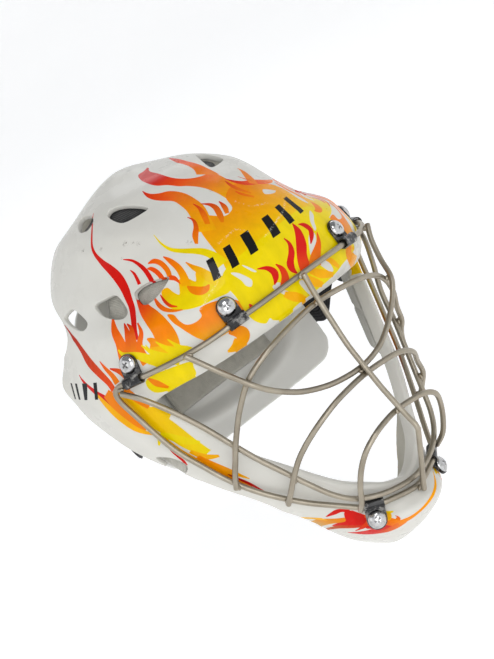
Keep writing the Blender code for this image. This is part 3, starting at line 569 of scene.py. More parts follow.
# Tongues of flame as (colours from tip to root, spine of (turn, level, half width in millimetres)).
TONGUES = (
    # long tongues up the crown
    ("RR", ((-80, 1.3, 0.4), (-76.5, 1.6, 0.9), (-74.5, 2, 1.3), (-75.2, 2.45, 1.5), (-74, 2.75, 2), (-71, 3, 2.8),
     (-67.5, 3.2, 4), (-64.8, 3.4, 4.6), (-63.3, 3.65, 3.9), (-62.6, 3.95, 2.8), (-61.8, 4.25, 2.3), (-61.2, 4.5, 2),
     (-61.3, 4.85, 1.8))),
    ("RVO", ((72, 0.81, 0.5), (55, 0.85, 1.5), (43, 0.94, 2.4), (33, 1.1, 3.6), (27.5, 1.33, 4.4), (23.5, 1.58, 5),
     (19.5, 1.83, 5.6), (15, 2.1, 7.5))),
    ("RVOA", ((-24.3, 1.26, 0.4), (-22.3, 1.48, 2), (-18.8, 1.68, 3), (-13.5, 1.87, 4.2), (-8.8, 2.02, 5.6),
     (-6.6, 2.22, 6.2), (-6.4, 2.5, 6.2), (-7.2, 2.8, 6.2), (-9.5, 3.1, 6), (-12, 3.4, 5.5))),
    # licks between them
    ("RO", ((-13.2, 2.88, 0.3), (-12.4, 3.03, 1.1), (-14.2, 3.2, 1.6), (-17.8, 3.36, 1.9), (-19.8, 3.5, 1))),
    ("RO", ((-5.5, 2.64, 0.3), (-5.6, 2.85, 1.3), (-7, 3.05, 2), (-9.5, 3.28, 1.6))),
    ("RO", ((-3.4, 2.77, 0.3), (-1.7, 2.92, 1.2), (-1.6, 3.08, 1.6), (-3.2, 3.28, 1.7), (-5, 3.42, 0.8))),
    ("RO", ((0.6, 2.98, 0.3), (0.2, 3.15, 0.9), (-1, 3.32, 1))),
    ("RO", ((13.6, 2.6, 0.3), (11.9, 2.8, 1.6), (11.5, 3, 1.8), (12.8, 3.25, 0.8))),
    ("VO", ((9.2, 3, 0.4), (9.4, 3.15, 1.4), (11.5, 3.35, 1))),
    ("RVO", ((15.4, 2.55, 0.4), (15.8, 2.78, 1.8), (18, 2.97, 2.6), (22.5, 3.08, 2.8), (27.5, 3.19, 2.6),
     (33, 3.27, 2), (38.5, 3.3, 0.4))),
    ("OO", ((31.8, 2.54, 0.4), (30, 2.7, 1.7), (27, 2.84, 2.6), (24, 2.98, 3.2), (21, 3.12, 3))),
    ("RO", ((21.6, 2.72, 0.3), (22, 2.9, 0.8), (23.5, 3.05, 1.4))),
    # above and below the temple vent
    ("RR", ((-57.8, 3.04, 0.3), (-53, 3.13, 1), (-50, 3.28, 1.7), (-48.3, 3.46, 2.2), (-47.8, 3.7, 2.2))),
    ("RR", ((-56.6, 3.3, 0.3), (-55.1, 3.42, 1.4), (-54.8, 3.65, 1.7))),
    ("VV", ((-47, 3.42, 0.4), (-44.8, 3.47, 1.7), (-43, 3.6, 2.1), (-42.3, 3.8, 2))),
    ("VO", ((-45.2, 3.33, 0.4), (-41.5, 3.35, 1.7), (-39, 3.46, 2.2), (-38.2, 3.64, 2.2), (-38.9, 3.8, 1.8))),
    ("VOA", ((-36.2, 3.36, 0.4), (-34.6, 3.5, 2), (-33.3, 3.7, 2.6), (-33.4, 3.92, 2.8), (-34.6, 4.15, 3.4))),
    ("OY", ((-29, 3.7, 0.4), (-27.8, 3.87, 1.7), (-26.2, 4.03, 2.6), (-24.6, 4.25, 3.4), (-22, 4.5, 4))),
    ("YY", ((-33.6, 2.83, 0.3), (-33.1, 3.08, 0.9), (-31, 3.3, 1.4), (-27, 3.46, 1.7), (-23, 3.59, 2.1),
     (-20, 3.72, 2.6), (-18.2, 3.9, 3), (-17.5, 4.15, 4))),
    ("VV", ((-39.5, 3.8, 1.5), (-37.2, 3.88, 1.6), (-36.3, 4.05, 0.3))),
    ("RVOOA", ((-58.2, 3.9, 1.6), (-57.2, 4.1, 3.4), (-55.3, 4.3, 4.6), (-52.8, 4.5, 5.6), (-51, 4.7, 6.2),
     (-50, 4.92, 6.8), (-49.8, 5.15, 7), (-50, 5.45, 6))),
    ("VO", ((-50.4, 4.03, 0.6), (-49.2, 4.25, 1.5), (-47, 4.42, 1.6), (-43.5, 4.54, 1), (-40, 4.6, 0.4))),
    ("RV", ((-46.9, 4.06, 0.4), (-46, 4.24, 1.1), (-44.2, 4.4, 1.1), (-41.5, 4.49, 0.4))),
    ("OO", ((-34.3, 4.17, 0.5), (-33, 4.3, 2.6), (-30.8, 4.4, 3), (-28.3, 4.42, 2.2), (-26.4, 4.37, 0.4))),
    # side of the temple
    ("VO", ((-71.8, 4.22, 0.5), (-70.5, 4.5, 2.4), (-68.5, 4.8, 3.6), (-68.5, 5.15, 3.8), (-69, 5.6, 3))),
    ("RO", ((-65.8, 4.42, 0.4), (-64.5, 4.65, 2), (-64.8, 4.95, 3), (-66, 5.3, 3))),
    ("RO", ((-64.5, 4.45, 0.4), (-62.5, 4.6, 1.6), (-62.8, 4.9, 2.2), (-64, 5.15, 2.6))),
    ("VO", ((-59.5, 4.5, 0.5), (-58.5, 4.72, 1.4), (-60.5, 4.95, 2), (-61, 5.2, 3), (-60, 5.5, 3.5))),
    ("OA", ((-57, 4.9, 0.6), (-55, 5.05, 3), (-55.5, 5.35, 4.5), (-57, 5.65, 5))),
    ("YY", ((-70, 4.95, 0.4), (-68.3, 5.1, 1.4), (-63, 5.22, 2.2), (-58, 5.45, 3), (-53, 5.7, 4))),
    ("AY", ((-57, 5.15, 0.6), (-52, 5.3, 2.2), (-47, 5.5, 2.6), (-43.5, 5.7, 2))),
    ("YY", ((-60, 5, 0.4), (-57, 5.25, 1.6), (-53, 5.5, 2.6), (-48, 5.75, 3.6))),
    # along the cheek towards the jaw
    ("DV", ((-96, 4.25, 0.3), (-91, 4.47, 0.9), (-87.3, 4.8, 1.6), (-84.6, 5.15, 2.8), (-81, 5.5, 2.6),
     (-78.2, 5.8, 2.2), (-77, 6.05, 2))),
    ("VO", ((-79.8, 5.13, 0.3), (-78, 5.35, 1.2), (-75.7, 5.6, 1.8), (-74.5, 5.85, 2.2))),
    ("RO", ((-76, 5.38, 0.4), (-72.5, 5.5, 1.6), (-69.8, 5.7, 2.4), (-68, 5.95, 2.6))),
    ("RR", ((-91, 5.45, 0.3), (-89.5, 5.75, 0.9), (-86, 6.05, 1.8), (-82, 6.3, 2.4), (-80.5, 6.6, 2),
     (-80, 6.95, 0.8))),
    ("OO", ((-81, 6.1, 3.5), (-78, 6.4, 5), (-75.5, 6.75, 5.5), (-73, 7.1, 4), (-70, 7.35, 1.5))),
    ("AA", ((-86, 6.1, 0.8), (-82.5, 6.5, 2.2), (-78.5, 6.95, 2.6), (-74, 7.3, 2), (-68, 7.5, 0.8))),
    ("AY", ((-76, 6.2, 3), (-71.5, 6.6, 4.8), (-67, 7, 6.2), (-62.5, 7.45, 6), (-59.5, 7.9, 4.8), (-57.5, 8.15, 3))),
    ("OO", ((-72, 6.05, 2), (-68, 6.5, 2.2), (-64, 6.9, 1.6))),
    ("YY", ((-70, 7.7, 0.5), (-66, 7.55, 2), (-61, 7.75, 3), (-56.5, 7.9, 1.2))),
    ("AO", ((-66, 7.6, 0.8), (-64.5, 8.05, 2.4), (-62.5, 8.5, 3.6), (-60.5, 8.85, 3), (-60, 9.15, 0.8))),
    ("RR", ((-67.5, 7.85, 0.4), (-67.2, 8.1, 1), (-68, 8.25, 0.5))),
    ("AA", ((-62, 8, 1.5), (-59.5, 8.2, 2.4), (-55.5, 8.28, 1))),
    ("OA", ((-61.5, 8.15, 1.6), (-58.8, 8.6, 2.4), (-56.5, 8.95, 0.5))),
    ("DR", ((-60, 8.7, 0.5), (-58.8, 9.05, 1.2), (-60, 9.45, 0.4))),
    # chin: the first three tongues start in colours darkened with painted shade
    ("mO", ((-118, 12.65, 3.5), (-106, 12.35, 4.5), (-95, 12.1, 4.2), (-85, 11.9, 4), (-76, 11.75, 4.2),
     (-66, 11.85, 3), (-60, 11.85, 2))),
    ("oA", ((-114, 11.9, 1.5), (-103, 11.3, 2.8), (-90, 11.2, 2.4), (-80, 11.3, 2.2), (-73, 11.55, 2.5))),
    ("bR", ((-112, 13.15, 0.5), (-98, 12.9, 0.9), (-88, 12.65, 1.2), (-78, 12.48, 1.8), (-70, 12.45, 3),
     (-62, 12.35, 5), (-55, 12.25, 6.5))),
    ("RR", ((-80, 12.3, 0.5), (-72, 12.2, 1.6), (-64, 12.25, 3), (-58, 12.1, 6), (-52, 11.8, 7), (-48, 11.65, 4))),
    ("RR", ((-68, 11.35, 0.4), (-60, 11.22, 1.6), (-54, 11.15, 2.2), (-50, 11.4, 4))),
    ("RV", ((-70, 13, 0.3), (-63, 12.85, 1), (-56, 12.65, 1.6), (-50, 12.5, 3))),
    ("RR", ((-78, 13.1, 0.4), (-68, 13.25, 2.2), (-57, 13.3, 3.6), (-47, 13.25, 5), (-42, 13.1, 5))),
    ("RR", ((-60, 12.9, 1), (-53, 12.95, 3), (-47, 12.85, 5), (-43, 12.8, 4))),
    ("VO", ((-49, 12, 3), (-46.5, 12.4, 4.5), (-43, 12.7, 5.5), (-39, 13, 5), (-36, 13.15, 3.5))),
    ("AA", ((-46, 12.35, 1.5), (-41, 12.5, 3.2), (-37, 12.45, 2.6), (-33, 12.3, 0.6))),
    ("RO", ((-33.5, 12.65, 0.4), (-33, 12.85, 1.4), (-36, 13.05, 2.4))),
    ("YA", ((-30.5, 12.35, 0.4), (-33.5, 12.3, 1.3), (-36.5, 12.1, 1.3), (-39, 12.3, 2.2))),
    ("AA", ((-34, 11.95, 0.5), (-37, 12.1, 1.6), (-41, 12.4, 2.4))),
    ("RO", ((-58, 13.42, 1), (-48, 13.45, 2.2), (-38, 13.35, 3), (-29, 13.22, 2.4))),
    ("OA", ((-36, 13.2, 2.4), (-26, 13.2, 1.8), (-15, 13.08, 1.3), (-3, 12.9, 1.1), (9, 12.7, 1), (20, 12.45, 0.8),
     (30, 12.15, 0.3))),
)
# Broad areas as (colours, the levels over which they change, smooth outline of (turn, level)).
AREAS = (
    ("RRVOA", (0.5, 3.1), ((40, 0.41), (15, 0.41), (-5, 0.41), (-15, 0.52), (-18, 0.78), (-15.5, 1.12), (-11, 1.38),
     (-5, 1.58), (-1.2, 1.85), (1.6, 2.12), (3.2, 2.4), (3.5, 2.75), (3.4, 3.2), (9, 3.3), (15, 3.1), (15.4, 2.65),
     (17.5, 2.3), (16, 2.1), (11, 2), (7, 1.87), (3.5, 1.65), (1.4, 1.4), (1, 1.15), (2, 0.95), (5, 0.75), (10, 0.6),
     (20, 0.5), (36, 0.45))),
    ("OAY", (2.9, 4.5), ((-16.5, 3.95), (-15.8, 3.65), (-14.4, 3.35), (-11.5, 3.1), (-8, 3), (-5, 3.18), (-2, 3.34),
     (1, 3.28), (3.4, 3), (9, 2.85), (15.5, 2.85), (19, 3.05), (24, 3.2), (30, 3.35), (31, 3.62), (28.6, 3.92),
     (29, 4.3), (15, 4.4), (0, 4.45), (-17, 4.5))),
    ("AYY", (4, 4.7), ((-46, 4.02), (-42.5, 3.98), (-40.8, 4.14), (-38.9, 4.26), (-37.6, 4.12), (-36.6, 3.98),
     (-35, 3.95), (-32, 4.05), (-30.2, 4.17), (-28.2, 4), (-25.2, 4.1), (-20, 4.4), (-21, 4.7), (-27, 4.7),
     (-34, 4.69), (-40, 4.61), (-44, 4.48), (-46, 4.3))),
    ("OOA", (4.55, 5.6), ((-46.4, 4.57), (-44, 4.62), (-42.7, 4.8), (-40.8, 4.94), (-37.5, 4.97), (-34.6, 4.9),
     (-34.2, 4.74), (-30, 4.72), (-25, 4.8), (-20.5, 5), (-20.5, 5.45), (-28, 5.6), (-35.5, 5.62), (-39, 5.4),
     (-41.5, 5.15), (-43.7, 4.92), (-45.4, 4.76))),
    ("YY", (4.2, 6), ((-21.5, 4.45), (-17, 4.25), (-5, 4.15), (10, 4.1), (24, 4.15), (30, 4.4), (29, 4.9),
     (28.5, 5.3), (31, 5.5), (31, 5.86), (20, 5.89), (13, 5.97), (0, 6), (-5, 6.02), (-10.5, 6.15), (-13.8, 6),
     (-14.6, 5.88), (-16.8, 5.95), (-19.6, 5.68), (-20.6, 5.3), (-20.6, 4.9))),
    ("YY", (5.9, 6.6), ((-62, 5.95), (-46, 5.9), (-44.4, 6.15), (-44.8, 6.5), (-52, 6.62), (-60, 6.5))),
)
# Bare patches inside the areas, as outlines.
WHITE_GAPS = (
    ((-24.8, 4.74), (-22, 4.74), (-20.8, 4.86), (-22.5, 4.95), (-25, 4.9)),
    ((-17.3, 4.4), (-15.4, 4.45), (-13.6, 4.6), (-12.6, 4.75), (-14, 4.86), (-15.4, 4.78), (-15.8, 4.62)),
    ((-12.2, 4.38), (-11, 4.45), (-9.4, 4.64), (-10.6, 4.6)),
    ((-8.2, 5.15), (-6, 5.12), (-5.2, 5.22), (-6, 5.36), (-7.6, 5.34)),
    ((13.6, 4.64), (11, 4.74), (9, 4.9), (7.2, 5.12), (8.6, 5.15), (11.5, 4.98), (14.6, 4.8), (15.2, 4.68)),
    ((17, 3.43), (20, 3.33), (24.5, 3.5), (21, 3.52)),
    ((16.4, 4.66), (18.6, 4.46), (22, 4.34), (24.6, 4.3), (23, 4.42), (20, 4.52), (17.8, 4.66)),
    ((8.6, 5.38), (11.6, 5.36), (12.8, 5.62), (13, 5.84), (11.4, 5.8), (9.8, 5.62)),
    ((-7, 5.42), (-5.6, 5.4), (-4.2, 5.6), (-5, 5.66)),
    ((-0.5, 5.5), (0.8, 5.48), (2.4, 5.8), (3, 5.98), (0.6, 5.98)),
)
# Small tongues drawn over everything else.
ACCENTS = (
    ("RR", ((-8.7, 4.61, 0.3), (-6, 4.7, 1.3), (-4.8, 4.85, 1.9), (-5.5, 5, 1.6), (-7.2, 5.13, 0.3))),
    ("RV", ((-2.8, 4.74, 0.3), (-2.2, 4.9, 1.3), (-2.8, 5.1, 1.9), (-4.6, 5.3, 2.6))),
    ("RR", ((3.8, 4.4, 0.3), (4, 4.55, 1), (2.8, 4.72, 1.7), (0.8, 4.88, 1.7), (0, 5.05, 1.2), (0.3, 5.22, 0.3))),
    ("RRV", ((10.9, 4.26, 0.4), (10.1, 4.45, 2.3), (7.6, 4.7, 3.3), (5.2, 4.9, 3.1), (3.9, 5.1, 3.3),
     (3.4, 5.32, 3.6))),
    ("RR", ((12.6, 4.35, 0.3), (14.6, 4.45, 1.9), (15, 4.6, 1.9), (13, 4.73, 1.5), (10.6, 4.84, 0.3))),
    ("VO", ((16.8, 4.73, 0.3), (14.2, 4.92, 1.6), (11.2, 5.06, 2.6), (8.4, 5.2, 3.6), (7, 5.34, 4))),
    ("AA", ((-6.3, 5.5, 1.6), (-3.8, 5.75, 2.6), (-1.2, 6.02, 1.6))),
    ("AA", ((1.2, 5.4, 1.4), (3.2, 5.7, 2.4), (6.4, 5.98, 1.4))),
    ("AA", ((4.2, 5.38, 1.6), (7.4, 5.66, 2.6), (12.4, 5.95, 1.2))),
    ("AA", ((12.2, 5.38, 1.2), (14.2, 5.6, 1.8), (16.4, 5.88, 1))),
    ("AA", ((26.5, 5.4, 1.6), (27.5, 5.6, 1.8), (30.5, 5.86, 0.8))),
    ("RV", ((-18.1, 5.2, 0.3), (-18, 5.3, 1.3), (-19, 5.42, 1.8))),
    ("OA", ((-28.8, 5.6, 1.4), (-25.6, 5.78, 4), (-25.8, 5.98, 4.4), (-28.4, 6.14, 4), (-32, 6.16, 0.8))),
    ("YY", ((-58.4, 5.02, 0.3), (-57, 5.3, 1.5), (-55.4, 5.55, 2.2), (-53, 5.8, 2.6))),
    ("YY", ((-54.2, 5.03, 0.3), (-51, 5.3, 1.6), (-48.4, 5.5, 2.6), (-45.6, 5.72, 2.8))),
    ("YY", ((-49.6, 5.08, 0.3), (-46.6, 5.38, 1.3), (-44, 5.53, 1.6), (-41.8, 5.66, 0.8))),
    ("OO", ((-61.5, 5.95, 0.6), (-58.6, 6.2, 2), (-54.6, 6.5, 0.8))),
)
# Plain slanted bars stand where such masks carry lettering: (turn, level, half length up, half width, slant).
BARS = [(turn, 4.06 - 0.004 * turn, 6.6, 2.7, 4.0) for turn in (-21.5, -13, -4.5, 4, 12.5, 21)]
JAW_BARS = [(turn, 6.0, 5.5, 1.5, 3.5) for turn in (-101, -96, -91, -86)]
DIRT = ((-51.5, 2.7, 2.6), (-44, 2.83, 2.2), (-83, 2.52, 2.2), (-69, 2.62, 1.8), (-21.5, 3.38, 2.4), (3.5, 2.6, 1.8),
        (-47, 2.76, 1.6), (-58, 3.0, 1.4))  # (turn, level, radius)
CRACKS = (((-13, 3.73), (-4, 3.68), (-2, 3.85)), ((0, 4.15), (8, 4.0), (14, 3.93), (19, 3.8)),
          ((-20, 4.25), (-26, 4.5), (-34, 4.75)), ((4, 3.2), (6, 3.5), (12, 3.6)))


def tongue_outline(spine):
    """A tongue's middle line and its outline on the flat sheet."""
    fine = finely(np.array(spine, float), 6)
    flat, width = flat_of(fine[:, 0], fine[:, 1]), np.maximum(fine[:, 2], 0.15)
    along = unit(np.gradient(flat, axis=0))
    aside = np.stack([-along[:, 1], along[:, 0]], 1)
    return flat, np.concatenate([flat + aside * width[:, None], (flat - aside * width[:, None])[::-1]])


def painted_shapes():
    """Every painted shape as (outline on the flat sheet, line the colours run along, colours); no colours is bare."""
    shapes = []

    def area(colours, levels, outline):
        turns = [p[0] for p in outline]
        flat = outline_of(flat_of(turns, [p[1] for p in outline]), 5)
        line = flat_of([sum(turns) / len(turns)] * 40, np.linspace(*levels, 40))
        shapes.append((flat, line, colours))

    def tongue(colours, spine):
        middle, outline = tongue_outline(spine)
        shapes.append((outline, middle, colours))

    def sides(points, reach):
        """The points, and their mirror image too when they lie wholly on the right side."""
        if max(p[0] for p in points) > reach:
            return (points,)
        return points, tuple((-p[0], *p[1:]) for p in points)

    for colours, levels, outline in AREAS:
        for points in sides(outline, -19):
            area(colours, levels, points)
    for colours, spine in TONGUES:
        for points in sides(spine, -26):
            tongue(colours, points)
    for outline in WHITE_GAPS:
        area("", (0, 1), outline)
    for colours, spine in ACCENTS:
        for points in sides(spine, -24):
            tongue(colours, points)
    for turn, level, tall, wide, slant in BARS + JAW_BARS + [(-t, *rest) for t, *rest in JAW_BARS]:
        place = flat_of([turn], [level])[0]
        lean = slant / 2
        corners = np.array([(-wide - lean, tall), (wide - lean, tall), (wide + lean, -tall), (-wide + lean, -tall)])
        shapes.append((place + corners, place[None], "K"))
    return shapes


# ---------------------------------------------------------------- the shell


def vent_outline(turn, level, outline, sign):
    """The vent's outline on the flat sheet, pressed onto the shell from a plane that touches it."""
    turn = turn * sign
    origin = on_shell(turn, level)[0]
    normal = outward(turn, level)[0]
    forward = on_shell(turn * 0.98, level)[0] - origin
    side = unit(np.cross(normal, forward))
    front = np.cross(side, normal)
    shape = outline_of([(x, y * sign) for x, y in outline], 5)
    turns, levels = np.full(len(shape), float(turn)), np.full(len(shape), float(level))
    for _ in range(8):
        here = on_shell(turns, levels) - origin
        miss = shape - np.stack([here @ front, here @ side], 1)
        by_turn = (on_shell(turns + 0.5, levels) - on_shell(turns - 0.5, levels))
        by_level = (on_shell(turns, levels + 0.02) - on_shell(turns, levels - 0.02)) / 0.04
        a, b, c, d = by_turn @ front, by_level @ front, by_turn @ side, by_level @ side
        size = a * d - b * c
        turns = turns + (miss[:, 0] * d - miss[:, 1] * b) / size
        levels = levels + (miss[:, 1] * a - miss[:, 0] * c) / size
    return flat_of(turns, levels)


def opening_outline(inset):
    """The face opening on the flat sheet, moved out by the inset all round."""
    half = finely(OPENING, 6)
    ring = np.concatenate([half, (half * (-1, 1))[::-1][1:-1]])
    along = unit(np.roll(ring, -1, 0) - np.roll(ring, 1, 0))
    ring = ring + np.stack([-along[:, 1], along[:, 0]], 1) * inset
    level = level_at(ring[:, 1])
    row = smooth(STATIONS, level)
    across = np.clip(np.abs(ring[:, 0]) / row[:, 1], 0, 1) ** (row[:, 5] / 2)
    turn = np.degrees(np.arcsin(across)) * np.sign(ring[:, 0])
    return flat_of(turn, level)


def neck_line():
    """The neck edge on the wearer's left on the flat sheet, from the back of the crown down to the chin."""
    fine = paced(finely(NECK_EDGE, 6)[::-1], 1.0)
    level = level_at(fine[:, 1])
    front, middle, back, front_square, back_square = smooth(STATIONS, level).T[2:]
    y = fine[:, 0]
    ahead = (np.maximum(middle - y, 0) / np.maximum(middle - front, 1e-6)) ** (front_square / 2)
    behind = (np.maximum(y - middle, 0) / np.maximum(back - middle, 1e-6)) ** (back_square / 2)
    along = np.where(y < middle, ahead, -behind)
    turn = np.degrees(np.arccos(np.clip(along, -1, 1)))
    keep = (along > -1) & (fine[:, 1] > -141)
    first, last = np.argmax(keep), len(keep) - np.argmax(keep[::-1])
    turn, level, wanted = turn[first:last].copy(), level[first:last].copy(), fine[first:last]
    loose = turn < 165
    for _ in range(4):
        here = on_shell(turn, level)[:, 1:]
        by_turn = on_shell(turn + 0.5, level)[:, 1:] - on_shell(turn - 0.5, level)[:, 1:]
        by_level = (on_shell(turn, level + 0.02)[:, 1:] - on_shell(turn, level - 0.02)[:, 1:]) / 0.04
        miss = wanted - here
        size = by_turn[:, 0] * by_level[:, 1] - by_turn[:, 1] * by_level[:, 0]
        more_turn = (miss[:, 0] * by_level[:, 1] - miss[:, 1] * by_level[:, 0]) / size
        more_level = (miss[:, 1] * by_turn[:, 0] - miss[:, 0] * by_turn[:, 1]) / size
        turn[loose] += np.clip(more_turn, -3, 3)[loose]
        level[loose] += np.clip(more_level, -0.2, 0.2)[loose]
    turn[0], turn[-1] = 180.0, 180.0
    return paced(flat_of(turn, level), EDGE_SPACING)


CREASES = (
    (-0.7, 5.0, ((-70, 58, 98), (-63, 33, 108), (-59, -4, 105), (-49, -28, 97), (-36, -47, 89), (-20, -56, 85))),
    (0.9, 5.0, ((-108, 26, 30), (-106, 14, 12), (-103, 3, 1), (-100, -4, -12), (-96, -11, -16), (-88, -22, -30))),
)


def relief(points):
    """How far the surface stands out from the plain shell: soft creases over the crown and down the jaw."""
    folded = points.copy()
    folded[:, 0] = -np.abs(points[:, 0])
    total = np.zeros(len(points))
    for height, width, line in CREASES:
        line = paced(finely(line, 8), 3.0)
        near = np.full(len(points), 1e9)
        where = np.zeros(len(points))
        for index, spot in enumerate(line):
            away = np.linalg.norm(folded - spot, axis=1)
            closer = away < near
            near[closer], where[closer] = away[closer], index / (len(line) - 1)
        fade = np.clip(np.minimum(where, 1 - where) * 5, 0, 1)
        total += height * np.exp(-((near / width) ** 2)) * fade
    return total


def skin(turn, level):
    plain = on_shell(turn, level)
    return plain + outward(turn, level) * relief(plain)[:, None]


def flat_mesh(loops, spacing, width, height):
    """Triangles over the flat sheet that follow every loop: (points, triangles)."""
    points, edges = [], []
    for loop in loops:
        start = len(points)
        points += [Vector(p) for p in loop]
        edges += [(start + i, start + (i + 1) % len(loop)) for i in range(len(loop))]
    taken = np.array(points)
    rows = int(height / spacing)
    columns = int(width / spacing)
    grid = []
    for j in range(1, rows):
        for i in range(-columns, columns + 1):
            grid.append(((i + 0.5 * (j % 2)) * spacing, j * spacing))
    grid = np.array(grid)
    grid = grid[np.abs(grid[:, 0]) < width - 0.4 * spacing]
    clear = np.ones(len(grid), bool)
    cells = {}
    for p in taken:
        cells.setdefault((int(p[0] // spacing), int(p[1] // spacing)), []).append(p)
    for k, g in enumerate(grid):
        ci, cj = int(g[0] // spacing), int(g[1] // spacing)
        for di in (-1, 0, 1):
            for dj in (-1, 0, 1):
                for p in cells.get((ci + di, cj + dj), ()):
                    if (p[0] - g[0]) ** 2 + (p[1] - g[1]) ** 2 < (0.55 * spacing) ** 2:
                        clear[k] = False
    points += [Vector(p) for p in grid[clear]]
    found = geometry.delaunay_2d_cdt(points, edges, [], 0, 1e-4)
    return np.array([tuple(p) for p in found[0]]), np.array([tuple(f) for f in found[2]])


def rim_rings(mesh_points, normals, faces, choose):
    """Closed rims between a front surface and its copy moved in: (extra points, extra faces, extra face parents)."""
    count = {}
    for index, face in enumerate(faces):
        for a, b in zip(face, np.roll(face, -1)):
            count.setdefault((min(a, b), max(a, b)), []).append((index, a, b))
    following = {}
    parent = {}
    for items in count.values():
        if len(items) == 1:
            index, a, b = items[0]
            following[a] = b
            parent[a] = index
    total = len(mesh_points)
    extra, extra_faces, parents = [], [], []
    done = set()
    for start in list(following):
        if start in done:
            continue
        chain = [start]
        done.add(start)
        while following.get(chain[-1]) is not None and following[chain[-1]] not in done:
            chain.append(following[chain[-1]])
            done.add(chain[-1])
        ring = mesh_points[chain]
        tangent = unit(np.roll(ring, -1, 0) - np.roll(ring, 1, 0))
        normal = normals[chain]
        away = unit(np.cross(tangent, normal))
        centre = mesh_points[faces[parent[chain[0]]]].mean(0)
        if away[0] @ (centre - ring[0]) > 0:
            away = -away
        profile, drawn = choose(ring, normal)
        rows = [chain]
        for w, n, d in profile:
            base = 2 * total + len(extra)
            extra += list(ring + away * w + normal * n + drawn * d)
            rows.append(list(range(base, base + len(chain))))
        rows.append([total + i for i in chain])
        for upper, lower in zip(rows, rows[1:]):
            for i in range(len(chain)):
                j = (i + 1) % len(chain)
                extra_faces.append((upper[j], upper[i], lower[i], lower[j]))
                parents.append(parent[chain[i]])
    return np.array(extra).reshape(-1, 3), extra_faces, parents


# Rims as (out past the sheet's edge, along the sheet's normal, inward along the drawn direction) steps.
LIP_PROFILE = ((0.9, -0.12, 0), (1.8, -0.5, 0), (2.5, -1.2, 0), (2.9, -2.0, 0), (3.0, -2.6, 0.4), (3.0, -2.6, 2.2),
               (3.0, -2.6, 4.4), (2.8, -2.6, 5.8), (2.3, -2.6, 6.6), (1.5, -2.6, 6.9), (0.7, -2.6, 6.6),
               (0.2, -2.7, 5.6), (0.0, -3.0, 3.4), (0.0, -3.4, 1.4))
TRIM_PROFILE = ((0.25, -0.06, 0), (0.45, -0.25, 0), (0.55, -0.6, 0), (0.55, -SHELL_THICKNESS / 2, 0),
                (0.5, -SHELL_THICKNESS + 0.5, 0), (0.3, -SHELL_THICKNESS + 0.15, 0))
PLATE_PROFILE = ((0.35, -0.08, 0), (0.7, -0.35, 0), (0.95, -0.85, 0), (1.0, -PLATE_THICKNESS / 2, 0),
                 (0.95, -PLATE_THICKNESS + 0.85, 0), (0.7, -PLATE_THICKNESS + 0.35, 0),
                 (0.35, -PLATE_THICKNESS + 0.08, 0))


def turned_out(points, normals, faces):
    """The faces, reversed if they look against the normals."""
    a, b, c = (points[faces[:, k]] for k in range(3))
    return faces[:, ::-1] if (np.cross(b - a, c - a) * normals[faces[:, 0]]).sum() < 0 else faces


def closed_sheet(points, normals, faces, thickness, choose):
    """A sheet given thickness behind its normals: (points, faces, the front face that each rim face belongs to)."""
    extra, extra_faces, parents = rim_rings(points, normals, faces, choose)
    total = len(points)
    every = np.concatenate([points, points - normals * thickness, extra])
    return every, [tuple(f) for f in faces] + [tuple(total + f[::-1]) for f in faces] + extra_faces, parents


